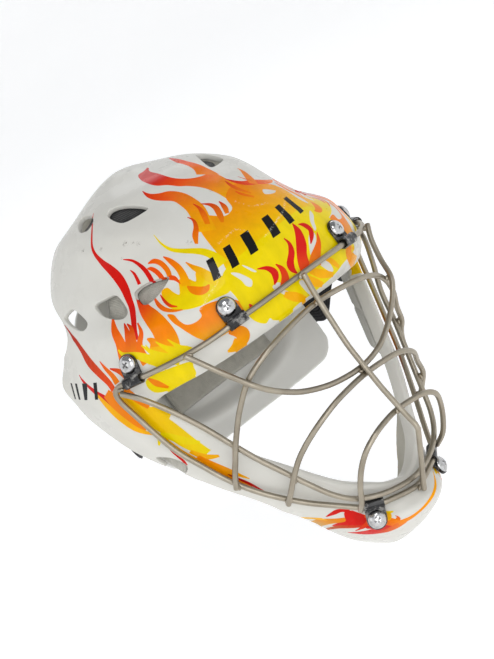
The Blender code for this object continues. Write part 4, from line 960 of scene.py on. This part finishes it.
def make_shell():
    neck = neck_line()
    width, height = 180 * STRETCH, RUN[-1]
    top, bottom = neck[0], neck[-1]

    def seam(low, high):
        return [(width, y) for y in np.linspace(low, high, max(2, int(round((high - low) / EDGE_SPACING))) + 1)]

    right_side = seam(0, top[1])[:-1] + [tuple(p) for p in neck] + seam(bottom[1], height)[1:]
    across = [(x, height) for x in np.linspace(width, -width, 120)][1:-1]
    outer = right_side + across + [(-x, y) for x, y in reversed(right_side)]
    outer += [(x, 0.0) for x in np.linspace(-width, width, 120)][1:-1]
    outer = np.array(outer)
    opening = opening_outline(OPENING_LIP)
    vents = [vent_outline(turn, level, outline, sign) for turn, level, outline in VENTS for sign in (1, -1)]
    shapes = painted_shapes()
    loops = [outer, opening, *vents, *(shape[0] for shape in shapes)]
    flat, faces = flat_mesh(loops, SKIN_SPACING, width, height)
    centres = flat[faces].mean(1)
    keep = within(centres, outer) & ~within(centres, opening)
    for vent in vents:
        keep &= ~within(centres, vent)
    faces, centres = faces[keep], centres[keep]
    colours = np.zeros((len(faces), 3, 4))
    corners = flat[faces]
    for outline, line, stops in shapes:
        near = np.where(((centres > outline.min(0)) & (centres < outline.max(0))).all(1))[0]
        near = near[within(centres[near], outline)]
        if not len(near) or not stops:
            colours[near] = 0
            continue
        away = ((corners[near].reshape(-1, 1, 2) - line[None]) ** 2).sum(2)
        share = away.argmin(1).reshape(-1, 3) / max(len(line) - 1, 1) * (len(stops) - 1)
        for channel in range(3):
            values = [COLOURS[stop][channel] for stop in stops]
            colours[near, :, channel] = np.interp(share, range(len(stops)), values)
        colours[near, :, 3] = 1
    turn, level = of_flat(flat)
    level = np.clip(level, 0, LAST_LEVEL)
    points = skin(turn, level)
    normals = outward(turn, level, skin)
    rounded = np.round(points / WELD_WITHIN).astype(np.int64)
    _, first_of, same = np.unique(rounded, axis=0, return_index=True, return_inverse=True)
    faces = same.reshape(-1)[faces]
    points, normals = points[first_of], normals[first_of]
    whole = (faces[:, 0] != faces[:, 1]) & (faces[:, 1] != faces[:, 2]) & (faces[:, 0] != faces[:, 2])
    faces, colours = faces[whole], colours[whole]
    turned = turned_out(points, normals, faces)
    if turned[0, 0] != faces[0, 0]:
        colours = colours[:, ::-1]
    faces = turned

    def choose(ring, normal):
        if ring[:, 1].max() < 10 and len(ring) > 60:  # the face opening, the only long ring at the front
            return LIP_PROFILE, unit(-normal * 0.55 + np.array((0, 0.6, 0)))
        return TRIM_PROFILE, normal * 0

    every, all_faces, parents = closed_sheet(points, normals, faces, SHELL_THICKNESS, choose)
    total = len(points)
    mesh = bpy.data.meshes.new("shell_skin")
    mesh.from_pydata([tuple(p) for p in every * MM], [], [tuple(int(i) for i in f) for f in all_faces])
    paint = mesh.color_attributes.new("paint", "FLOAT_COLOR", "CORNER")
    corner_colours = [colours.reshape(-1, 4), np.zeros((len(faces) * 3, 4))]
    rim = colours.mean(1)[parents]
    corner_colours.append(np.repeat(rim, 4, axis=0))
    paint.data.foreach_set("color", np.concatenate(corner_colours).astype(np.float32).ravel())
    slots = np.zeros(len(all_faces), np.int32)
    slots[len(faces):2 * len(faces)] = 1
    mesh.polygons.foreach_set("material_index", slots)
    mesh.shade_smooth()
    mesh.update()
    vertex_normals = np.zeros(len(mesh.vertices) * 3, np.float32)
    mesh.vertices.foreach_get("normal", vertex_normals)
    vertex_normals = vertex_normals.reshape(-1, 3)
    vertex_normals[:total] = normals
    vertex_normals[total:2 * total] = -normals
    mesh.normals_split_custom_set_from_vertices(vertex_normals.tolist())
    made = add("shell_skin", mesh, (shell_finish(), liner_finish()))
    settle(made, "mask", "shell")


# ---------------------------------------------------------------- the cage


def tube(points, radius, cyclic=False, sides=14):
    """Rings of a round wire along the points, its ends slightly domed: (points, faces)."""
    points = np.asarray(points, float)
    if cyclic:
        along = unit(np.roll(points, -1, 0) - np.roll(points, 1, 0))
        radii = np.full(len(points), radius)
    else:
        along = unit(np.gradient(points, axis=0))
        first, last = along[0], along[-1]
        points = np.concatenate([[points[0] - first * 0.5, points[0] - first * 0.35], points,
                                 [points[-1] + last * 0.35, points[-1] + last * 0.5]])
        along = np.concatenate([[first, first], along, [last, last]])
        radii = np.full(len(points), radius)
        radii[[0, -1]], radii[[1, -2]] = radius * 0.62, radius * 0.9
    aside = np.zeros_like(points)
    reference = np.array((0.0, 0.0, 1.0)) if abs(along[0][2]) < 0.9 else np.array((0.0, 1.0, 0.0))
    for index, line in enumerate(along):
        reference = unit(reference - line * (reference @ line))
        aside[index] = reference
    if cyclic:
        end = unit(aside[-1] - along[0] * (aside[-1] @ along[0]))
        twist = math.atan2(np.cross(aside[0], end) @ along[0], aside[0] @ end)
    else:
        twist = 0.0
    rings = []
    for index, (point, line, out) in enumerate(zip(points, along, aside)):
        up = np.cross(line, out)
        angles = 2 * math.pi * np.arange(sides) / sides - twist * index / len(points)
        rings.append(point + radii[index] * (np.cos(angles)[:, None] * out + np.sin(angles)[:, None] * up))
    count = len(rings)
    faces = ring_faces(count, sides, cyclic)
    if not cyclic:
        faces.append(tuple(reversed(range(sides))))
        faces.append(tuple((count - 1) * sides + k for k in range(sides)))
    return np.concatenate(rings), faces


def cage_routes():
    """Each wire's points and whether it closes on itself."""
    brow = [tuple(off_shell(*place)[0]) for place in BROW_ROUTE]
    base = [tuple(off_shell(*place)[0]) for place in BASE_ROUTE]
    here = np.array(base[HELD_AT])
    line = unit(np.array(base[HELD_AT + 1]) - np.array(base[HELD_AT - 1]))
    base[HELD_AT - 1:HELD_AT + 2] = [tuple(here + line * step) for step in (-8, -4, 0, 4, 8)]
    ring = mirrored(brow) + [(-x, y, z) for x, y, z in base] + list(reversed(base[:-1]))
    routes = {"perimeter_wire": (route_of(ring, WIRE_STEP, True), True)}
    for name, half in (("face_loop_wire", FACE_LOOP), ("eye_wire", EYE_WIRE), ("upper_arch_wire", UPPER_ARCH),
                       ("middle_arch_wire", MIDDLE_ARCH), ("lower_arch_wire", LOWER_ARCH)):
        routes[name] = (route_of(mirrored(half), WIRE_STEP), False)
    bar = np.concatenate([route_of(CENTRE_BAR, WIRE_STEP), route_of(CENTRE_BAR_LEG, WIRE_STEP)])
    routes["centre_bar_wire"] = (bar, False)
    return routes


def weld_bead(spot, line_a, line_b, towards):
    """A small uneven bead of weld metal that fills the corner between two crossing wires."""
    shape = bmesh.new()
    bmesh.ops.create_icosphere(shape, subdivisions=3, radius=1.0)
    across = unit(line_a + line_b)
    side = unit(np.cross(across, towards))
    across = np.cross(towards, side)
    for vertex in shape.verts:
        p = np.array(vertex.co)
        p = p * (1 + 0.16 * noise.noise(Vector(p * 2.1 + spot * 0.37)) + 0.08 * noise.noise(Vector(p * 5.0 + spot)))
        x, y, z = p * WELD_SIZE
        vertex.co = Vector(spot + across * x + side * y + towards * z)
    points = np.array([v.co for v in shape.verts])
    faces = [tuple(v.index for v in f.verts) for f in shape.faces]
    shape.free()
    return points, faces


def make_cage():
    finish = wire_finish()
    routes = cage_routes()
    welds = {name: [] for name in routes}
    names = list(routes)
    seen = []
    for i, a in enumerate(names):
        for b in names[i + 1:]:
            pa, pb = routes[a][0], routes[b][0]
            away = np.linalg.norm(pa[:, None] - pb[None], axis=2)
            order = np.dstack(np.unravel_index(np.argsort(away, axis=None)[:400], away.shape))[0]
            for ia, ib in order:
                if away[ia, ib] > WELD_REACH:
                    break
                spot = (pa[ia] + pb[ib]) / 2
                if any(np.linalg.norm(spot - other) < 9 for other in seen):
                    continue
                seen.append(spot)
                la = pa[min(ia + 1, len(pa) - 1)] - pa[max(ia - 1, 0)]
                lb = pb[min(ib + 1, len(pb) - 1)] - pb[max(ib - 1, 0)]
                if la @ lb < 0:
                    lb = -lb
                welds[b].append((spot, unit(la), unit(lb), unit(pa[ia] - pb[ib])))
    spots_hot = np.array(seen)
    for name, (points, cyclic) in routes.items():
        vertices, faces = tube(points, WIRE_RADIUS, cyclic)
        for weld in welds[name]:
            more, more_faces = weld_bead(*weld)
            start = len(vertices)
            vertices = np.concatenate([vertices, more])
            faces = faces + [tuple(i + start for i in f) for f in more_faces]
        mesh = mesh_from(name, vertices, faces)
        mesh.set_sharp_from_angle(angle=math.radians(50))
        heat = mesh.attributes.new("heat", "FLOAT", "POINT")
        if len(spots_hot):
            away = np.linalg.norm(vertices[:, None] - spots_hot[None], axis=2).min(1)
            heat.data.foreach_set("value", np.clip(1 - (away - 2) / 4.5, 0, 1).astype(np.float32))
        made = add(name + "_visual", mesh, (finish,))
        settle(made, "mask", name)


# ---------------------------------------------------------------- clips, screws, nuts and snaps


def axis_frame(node):
    """A turned CAD node's middle, its axis towards the wide end, and how far it reaches each way along it."""
    points = np.array([tuple(v.co) for v in nodes[node].data.vertices]) / MM
    points = np.unique(np.round(points, 3), axis=0)
    middle = points.mean(0)
    spread = points - middle
    values, axes = np.linalg.eigh(spread.T @ spread)
    axis = axes[:, 0] if values[2] - values[1] < values[1] - values[0] else axes[:, 2]
    along = spread @ axis
    away = np.linalg.norm(spread - along[:, None] * axis, axis=1)
    wide = along[away > 0.9 * away.max()].mean()
    if wide < (along.max() + along.min()) / 2:
        axis, along = -axis, -along
    return middle, axis, along.min(), along.max()


def cross_cutter():
    """A tapered cross for the recess of a screw head, in millimetres about the origin with its top at Z 0.6."""
    shape = bmesh.new()
    for turn in (0, 90):
        spin = Matrix.Rotation(math.radians(turn), 3, "Z")
        low = [(-1.2, -0.32), (1.2, -0.32), (1.2, 0.32), (-1.2, 0.32)]
        high = [(-2.9, -0.62), (2.9, -0.62), (2.9, 0.62), (-2.9, 0.62)]
        bottom = [shape.verts.new(spin @ Vector((x, y, -2.3))) for x, y in low]
        top = [shape.verts.new(spin @ Vector((x, y, 0.8))) for x, y in high]
        shape.faces.new(bottom[::-1])
        shape.faces.new(top)
        for i in range(4):
            j = (i + 1) % 4
            shape.faces.new((bottom[i], bottom[j], top[j], top[i]))
    for vertex in shape.verts:
        vertex.co *= MM
    mesh = bpy.data.meshes.new("cross")
    shape.to_mesh(mesh)
    shape.free()
    return mesh


def screw_mesh(length):
    """A pan-head screw from the top of its head down, about Z, with a cross recess and a plain shank below."""
    profile = [(0.0, 0.0), (1.4, -0.08), (2.8, -0.32), (4.0, -0.85), (4.9, -1.6), (5.45, -2.4), (5.6, -2.85),
               (5.4, -3.0), (2.0, -3.0), (2.0, -length + 0.5), (1.6, -length), (0.0, -length)]
    steps = 48
    points = []
    for radius, height in profile:
        for k in range(steps):
            angle = 2 * math.pi * k / steps
            points.append((radius * math.cos(angle), radius * math.sin(angle), height))
    mesh = mesh_from("screw", points, ring_faces(len(profile), steps), False)
    cleaned(mesh, 1e-7)
    body = bpy.data.objects.new("screw_body", mesh)
    cutter = bpy.data.objects.new("cross_cutter", cross_cutter())
    for one in (body, cutter):
        bpy.context.scene.collection.objects.link(one)
    cut = body.modifiers.new("cross", "BOOLEAN")
    cut.object = cutter
    cut.solver = "EXACT"
    cut.use_self = True
    bevelled(body, 0.12, 40)
    bpy.context.view_layer.update()
    finished = bpy.data.meshes.new_from_object(body.evaluated_get(bpy.context.evaluated_depsgraph_get()))
    bpy.data.objects.remove(body)
    bpy.data.objects.remove(cutter)
    finished.shade_smooth()
    finished.set_sharp_from_angle(angle=math.radians(38))
    return finished


SCREW_TURNS = {"brow_left": 20, "brow_right": 64, "temple_left": 5, "temple_right": 38, "chin_left": 50,
               "chin_right": 11}  # degrees that each cross recess stands turned


def bevelled(thing, width, degrees):
    edge = thing.modifiers.new("edge", "BEVEL")
    edge.width = width * MM
    edge.segments = 2
    edge.limit_method = "ANGLE"
    edge.angle_limit = math.radians(degrees)


def make_hardware():
    black, chrome = clip_finish(), screw_finish()
    snap_metal = screw_finish("nickel_snap")
    for name, node in nodes.items():
        if name.startswith(("clip_", "nut_", "shell_snap", "plate_snap")):
            node.data.materials.clear()
            node.data.materials.append(black if name.startswith("clip_") else snap_metal)
            bevelled(node, 0.3 if name.startswith("clip_") else 0.25, 35)
            node.data.shade_smooth()
        if not name.startswith("screw_"):
            continue
        origin, axis, low, high = axis_frame(name)
        mesh = screw_mesh(high - low)
        top = origin + axis * high
        rotation = Vector(axis).to_track_quat("Z", "Y").to_matrix().to_4x4()
        spin = Matrix.Rotation(math.radians(SCREW_TURNS[name.removeprefix("screw_")]), 4, "Z")
        mesh.transform(Matrix.Translation(Vector(top * MM)) @ rotation @ spin)
        made = add(name + "_visual", mesh, (chrome,))
        settle(made, "mask", name)


# ---------------------------------------------------------------- pads


def pad_mesh(name, place, columns, rows, thickness, channels, finish, quilt=0.9):
    """A pad crowned between its sewn channels, with its edge drawn in to a rounded seam.

    place(u, v, depth) gives points in millimetres at a depth below the pad's outer face.
    """
    u, v = np.meshgrid(np.linspace(0, 1, columns), np.linspace(0, 1, rows), indexing="ij")
    u, v = u.ravel(), v.ravel()
    side_u, side_v = np.abs(2 * u - 1), np.abs(2 * v - 1)
    crown = (1 - side_u**10) ** 0.5 * (1 - side_v**8) ** 0.5
    sewn = np.zeros(len(u))
    for axis, at in channels:
        value = u if axis == "u" else v
        sewn = np.maximum(sewn, np.exp(-(((value - at) / 0.018) ** 2)))
    low = thickness * 0.5 - thickness * 0.44 * crown
    high = thickness * 0.5 + thickness * 0.5 * crown * (1 - 0.42 * quilt * sewn)
    outer_points, inner_points = place(u, v, low), place(u, v, high)
    count = columns * rows
    faces = []
    for i in range(columns - 1):
        for j in range(rows - 1):
            a, b, c, d = i * rows + j, (i + 1) * rows + j, (i + 1) * rows + j + 1, i * rows + j + 1
            faces.append((a, b, c, d))
            faces.append((count + d, count + c, count + b, count + a))
    mesh = mesh_from(name, np.concatenate([outer_points, inner_points]), faces)
    cleaned(mesh, 2e-5)
    mesh.shade_smooth()
    return add(name + "_soft", mesh, (finish,))


def make_pads():
    grey = foam_finish("grey_foam_cloth", (0.47, 0.455, 0.40), (0.30, 0.29, 0.25))
    dark = foam_finish("black_foam_cloth", (0.022, 0.022, 0.022), (0.007, 0.007, 0.007))
    start = SHELL_THICKNESS + 1.0

    def on_inside(turns, levels):
        def place(u, v, depth):
            turn = turns[0] + (turns[1] - turns[0]) * u
            level = levels[0] + (levels[1] - levels[0]) * v
            return on_shell(turn, level) - outward(turn, level) * (start + depth)[:, None]

        return place

    made = [
        (pad_mesh("forehead_pad", on_inside((-78, 78), (2.1, 4.48)), 110, 40, 8.6,
                  (("u", 0.2), ("u", 0.35), ("u", 0.5), ("u", 0.65), ("u", 0.8), ("v", 0.5)), grey),
         "forehead_pad", "foam"),
        (pad_mesh("crown_pad", on_inside((-100, 100), (0.9, 1.9)), 90, 24, 8.6,
                  (("u", 0.25), ("u", 0.5), ("u", 0.75)), dark), "crown_pad", "dark_foam"),
    ]
    for side, sign in (("right", -1), ("left", 1)):
        turns = (60, 79) if sign > 0 else (-79, -60)
        made.append((pad_mesh(f"cheek_pad_{side}", on_inside(turns, (7.1, 8.9)), 26, 40, 5.6, (("v", 0.5),), grey),
                     f"cheek_pad_{side}", "foam"))
        turns = (73, 86) if sign > 0 else (-86, -73)
        made.append((pad_mesh(f"temple_pad_{side}", on_inside(turns, (4.74, 5.6)), 22, 22, 7.6, (), grey),
                     f"temple_pad_{side}", "foam"))
    for piece, node, slot in made:
        settle(piece, "mask", node)

    def on_plate(u, v, depth):
        x, z = 88 * u - 44, 58 * v - 24
        return np.stack([x, plate_depth(x, z) - 1.6 - depth, z], 1)

    piece = pad_mesh("backplate_pad", on_plate, 60, 40, 5.6, (("u", 0.33), ("u", 0.67)), grey)
    settle(piece, "backplate", "backplate_pad")


# ---------------------------------------------------------------- backplate and straps


PLATE_CORNER = [(79, -30), (77, -40), (70, -46.5), (60, -48.5), (30, -50.5)]  # (x, z), one lower corner
PLATE_TOP = [(-79, 15), (-74, 45), (-62, 60), (-40, 66)]  # (x, z), the other side's upper edge


def plate_place(x, z):
    """The leaning plate's depth without its dish, how far out of the dish this is, and how deep in its wall."""
    lean = 27.0 + PLATE_LEAN * (z - PLATE_LOW) - 7.0 * (x / 79.0) ** 2
    reach = (np.abs(x) / 62) ** 2.6 + (np.abs(z - 5) / 38) ** 2.6
    return lean, reach, np.clip((1.25 - reach) / 0.45, 0, 1)


def plate_depth(x, z):
    """The CAD plate's front face."""
    lean, _reach, part = plate_place(x, z)
    return lean + DISH_DEPTH * part


def plate_shape(x, z):
    """The plate's front face with a soft rounded dish edge and a raised ridge round the dish."""
    lean, reach, part = plate_place(x, z)
    soft = part * part * (3 - 2 * part)
    ridge = np.exp(-(((reach - 1.4) / 0.17) ** 2))
    return np.stack([x, lean + DISH_DEPTH * soft - 0.9 * ridge, z], 1)


def make_backplate():
    low = PLATE_CORNER + [(-x, z) for x, z in reversed(PLATE_CORNER)]
    outline = low + PLATE_TOP + [(-x, z) for x, z in reversed(PLATE_TOP)]
    ring = outline_of(outline, 2)
    ring = paced(np.concatenate([ring, ring[:1]]), 1.6)[:-1]
    inward = ring - unit(ring - np.array((0, 8))) * 1.0
    sheet, faces = flat_mesh([inward + (0, 60)], PLATE_SPACING, 82, 132)
    faces = faces[within(sheet[faces].mean(1), inward + (0, 60))]
    x, z = sheet[:, 0], sheet[:, 1] - 60
    points = plate_shape(x, z)
    by_x = plate_shape(x + 0.3, z) - plate_shape(x - 0.3, z)
    by_z = plate_shape(x, z + 0.3) - plate_shape(x, z - 0.3)
    normals = unit(np.cross(by_x, by_z))
    normals = normals * np.where(normals[:, 1:2] > 0, -1, 1)
    used = np.unique(faces)
    renumber = np.zeros(len(points), int)
    renumber[used] = np.arange(len(used))
    points, normals, faces = points[used], normals[used], renumber[faces]
    faces = turned_out(points, normals, faces)
    every, all_faces, _ = closed_sheet(points, normals, faces, PLATE_THICKNESS,
                                       lambda _, normal: (PLATE_PROFILE, normal * 0))
    mesh = mesh_from("backplate", every, all_faces)
    inside = liner_finish()
    inside.name = "bare_plate_inside"
    made = add("backplate_visual", mesh, (plate_finish(), inside))
    settle(made, "backplate", "backplate")


def band(name, route, start_axis, end_axis, finish):
    """A woven elastic band along its middle line, with rounded selvedges and a slight crown."""
    points = route_of(route, 2.0)
    along = unit(np.gradient(points, axis=0))
    last = len(points) - 1
    share = np.clip(1.6 * np.arange(last + 1) / last - 0.3, 0, 1)[:, None]
    across = unit(unit(np.array(start_axis, float)) * (1 - share) + unit(np.array(end_axis, float)) * share)
    normal = unit(np.cross(along, across))
    offsets = np.arange(23) / 22 - 0.5
    section = [(offset, 1) for offset in offsets] + [(-offset, -1) for offset in offsets]
    vertices, places = [], []
    for index in range(last + 1):
        for offset, face in section:
            edge = max(0.0, (abs(offset) - 0.44) / 0.06)
            rib = 0.08 * math.cos(2 * math.pi * offset * 9)
            half = STRAP_THICKNESS / 2 * (math.sqrt(max(0.0, 1 - edge**2)) * 0.9 + 0.1) + (rib if edge == 0 else 0)
            vertices.append(points[index] + across[index] * STRAP_WIDTH * offset + normal[index] * face * half)
            places.append((offset + 0.5, index * 2.0, 0.0))
    ring = len(section)
    ends = [tuple(range(ring)), tuple(reversed(range(last * ring, (last + 1) * ring)))]
    faces = ring_faces(last + 1, ring) + ends
    mesh = mesh_from(name, vertices, faces)
    at = mesh.attributes.new("band_place", "FLOAT_VECTOR", "POINT")
    at.data.foreach_set("vector", np.array(places, np.float32).ravel())
    cleaned(mesh)
    mesh.shade_smooth()
    mesh.set_sharp_from_angle(angle=math.radians(60))
    return add(name + "_band", mesh, (finish,))


def make_straps():
    finish = elastic_finish()
    plate_axis = np.array((0, PLATE_LEAN, 1.0))
    behind_plate = (PLATE_THICKNESS + 0.8 + 0.4) * np.linalg.norm(plate_axis) + 0.7
    in_shell = SHELL_THICKNESS + 0.8 + 1.3
    made = []

    def plate_at(x, z):
        return float(plate_depth(np.array([x]), np.array([z]))[0])

    for side, sign in (("right", -1), ("left", 1)):
        for level_name, turn, level, plate_z in (("upper", 95, 5.6, 32), ("lower", 87, 7.25, -18)):
            ends = [tuple(off_shell(sign * (turn + step), level, -in_shell - 0.6)[0]) for step in (-7, 0, 6)]
            down = (on_shell(sign * turn, level + 0.1) - on_shell(sign * turn, level - 0.1))[0]
            lift = (0.6, -1.2) if level_name == "upper" else (0.2, -0.8)
            run = [(sign * x, plate_at(min(x, 79), plate_z) + behind_plate + rise, plate_z)
                   for x, rise in ((89, lift[1] - 5), (82, lift[1] + 0.6), (74, 0.1), (67.5, lift[0]))]
            piece = band(f"strap_{level_name}_{side}", ends + run, -down, plate_axis, finish)
            made.append((piece, f"strap_{level_name}_{side}", ends[2], run[1]))
    behind = [(0, plate_at(0, z) + behind_plate, z) for z in (64, 56, 47)]
    ends = [tuple(off_shell(180, level, -in_shell)[0]) for level in (2.1, 2.5, 2.9)]
    piece = band("strap_top", ends + [(0, 83.5, 88), (0, 81.5, 76)] + behind, (1, 0, 0), (1, 0, 0), finish)
    made.append((piece, "strap_top", (0, 84, 90), (0, 80, 68)))
    for piece, node, start, end in made:
        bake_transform(piece)
        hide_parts(node)


# ---------------------------------------------------------------- stage


LAMPS = (  # name, place, target, (width, height), power
    ("key", (-0.35, -1.2, 1.7), (0, 0, 0), (0.7, 0.7), 6.5),
    ("front", (-0.75, -1.5, 0.35), (0, 0, -0.02), (0.9, 0.9), 4.8),
    ("fill", (-1.9, 0.2, 0.9), (0, 0, 0), (1.4, 1.2), 3),
    ("rim", (1.3, 1.3, 1.5), (0, 0, 0), (1.2, 0.8), 4),
)
CAMERA_TURN, CAMERA_RISE, CAMERA_ROLL = 34, 15.5, 26  # degrees
CAMERA_DISTANCE = 1050.0
CAMERA_LENS = 91.06525
CAMERA_AIM = (0.629874, -10.392921)  # where the origin lies, across and up, from the frame's middle
FLOOR_DROP = 0.045  # the floor lies this far below the chin
FLOOR_SIDES = 64


def make_stage():
    """A pale floor that curves up far from the object, soft lights, and the camera."""
    shape = bmesh.new()
    rings = [0.0, 0.3, 0.6, 1.0, 1.5, 2.0, 2.6, 3.2, 3.8, 4.4, 5.0, 5.5, 5.9, 6.1]
    floor_z = cad_low.z - FLOOR_DROP
    rows = []
    for radius in rings:
        rise = 0.0 if radius < 2.6 else ((radius - 2.6) / 3.5) ** 3 * 5.0
        row = []
        for k in range(FLOOR_SIDES):
            angle = 2 * math.pi * k / FLOOR_SIDES
            row.append(shape.verts.new((radius * math.cos(angle), radius * math.sin(angle), floor_z + rise)))
        rows.append(row)
    for inner, outer in zip(rows, rows[1:]):
        for k in range(FLOOR_SIDES):
            m = (k + 1) % FLOOR_SIDES
            shape.faces.new((inner[k], outer[k], outer[m], inner[m]))
    bmesh.ops.remove_doubles(shape, verts=shape.verts, dist=1e-5)
    mesh = bpy.data.meshes.new("floor")
    shape.to_mesh(mesh)
    shape.free()
    mesh.shade_smooth()
    floor = add("floor", mesh, (floor_finish(),))

    world = bpy.data.worlds.new("studio")
    bpy.context.scene.world = world
    world.use_nodes = True
    world.node_tree.nodes["Background"].inputs["Color"].default_value = (0.93, 0.96, 1.0, 1.0)
    world.node_tree.nodes["Background"].inputs["Strength"].default_value = 0.33

    def lamp(name, place, target, size, power):
        data = bpy.data.lights.new(name, "AREA")
        data.shape = "RECTANGLE"
        data.size, data.size_y = size
        data.energy = power
        made = bpy.data.objects.new(name, data)
        bpy.context.scene.collection.objects.link(made)
        made.location = place
        made.rotation_euler = (Vector(target) - Vector(place)).to_track_quat("-Z", "Y").to_euler()

    for settings in LAMPS:
        lamp(*settings)
    bpy.context.scene.view_settings.view_transform = "Standard"

    a, e, roll = map(math.radians, (CAMERA_TURN, CAMERA_RISE, CAMERA_ROLL))
    back = Vector((-math.sin(a) * math.cos(e), -math.cos(a) * math.cos(e), math.sin(e)))
    level = Vector((math.cos(a), -math.sin(a), 0))
    upright = back.cross(level)
    right = math.cos(roll) * level - math.sin(roll) * upright
    up = math.sin(roll) * level + math.cos(roll) * upright
    place = back * CAMERA_DISTANCE - right * CAMERA_AIM[0] - up * CAMERA_AIM[1]
    data = bpy.data.cameras.new("camera")
    data.sensor_fit = "AUTO"
    data.sensor_width = 36
    data.lens = CAMERA_LENS
    data.clip_start, data.clip_end = 0.05, 30
    camera = bpy.data.objects.new("camera", data)
    bpy.context.scene.collection.objects.link(camera)
    rotation = Matrix((right, up, back)).transposed().to_4x4()
    camera.matrix_world = Matrix.Translation(place * MM) @ rotation
    bpy.context.scene.camera = camera


def main():
    make_stage()
    make_shell()
    make_cage()
    make_hardware()
    make_pads()
    make_backplate()
    make_straps()


main()
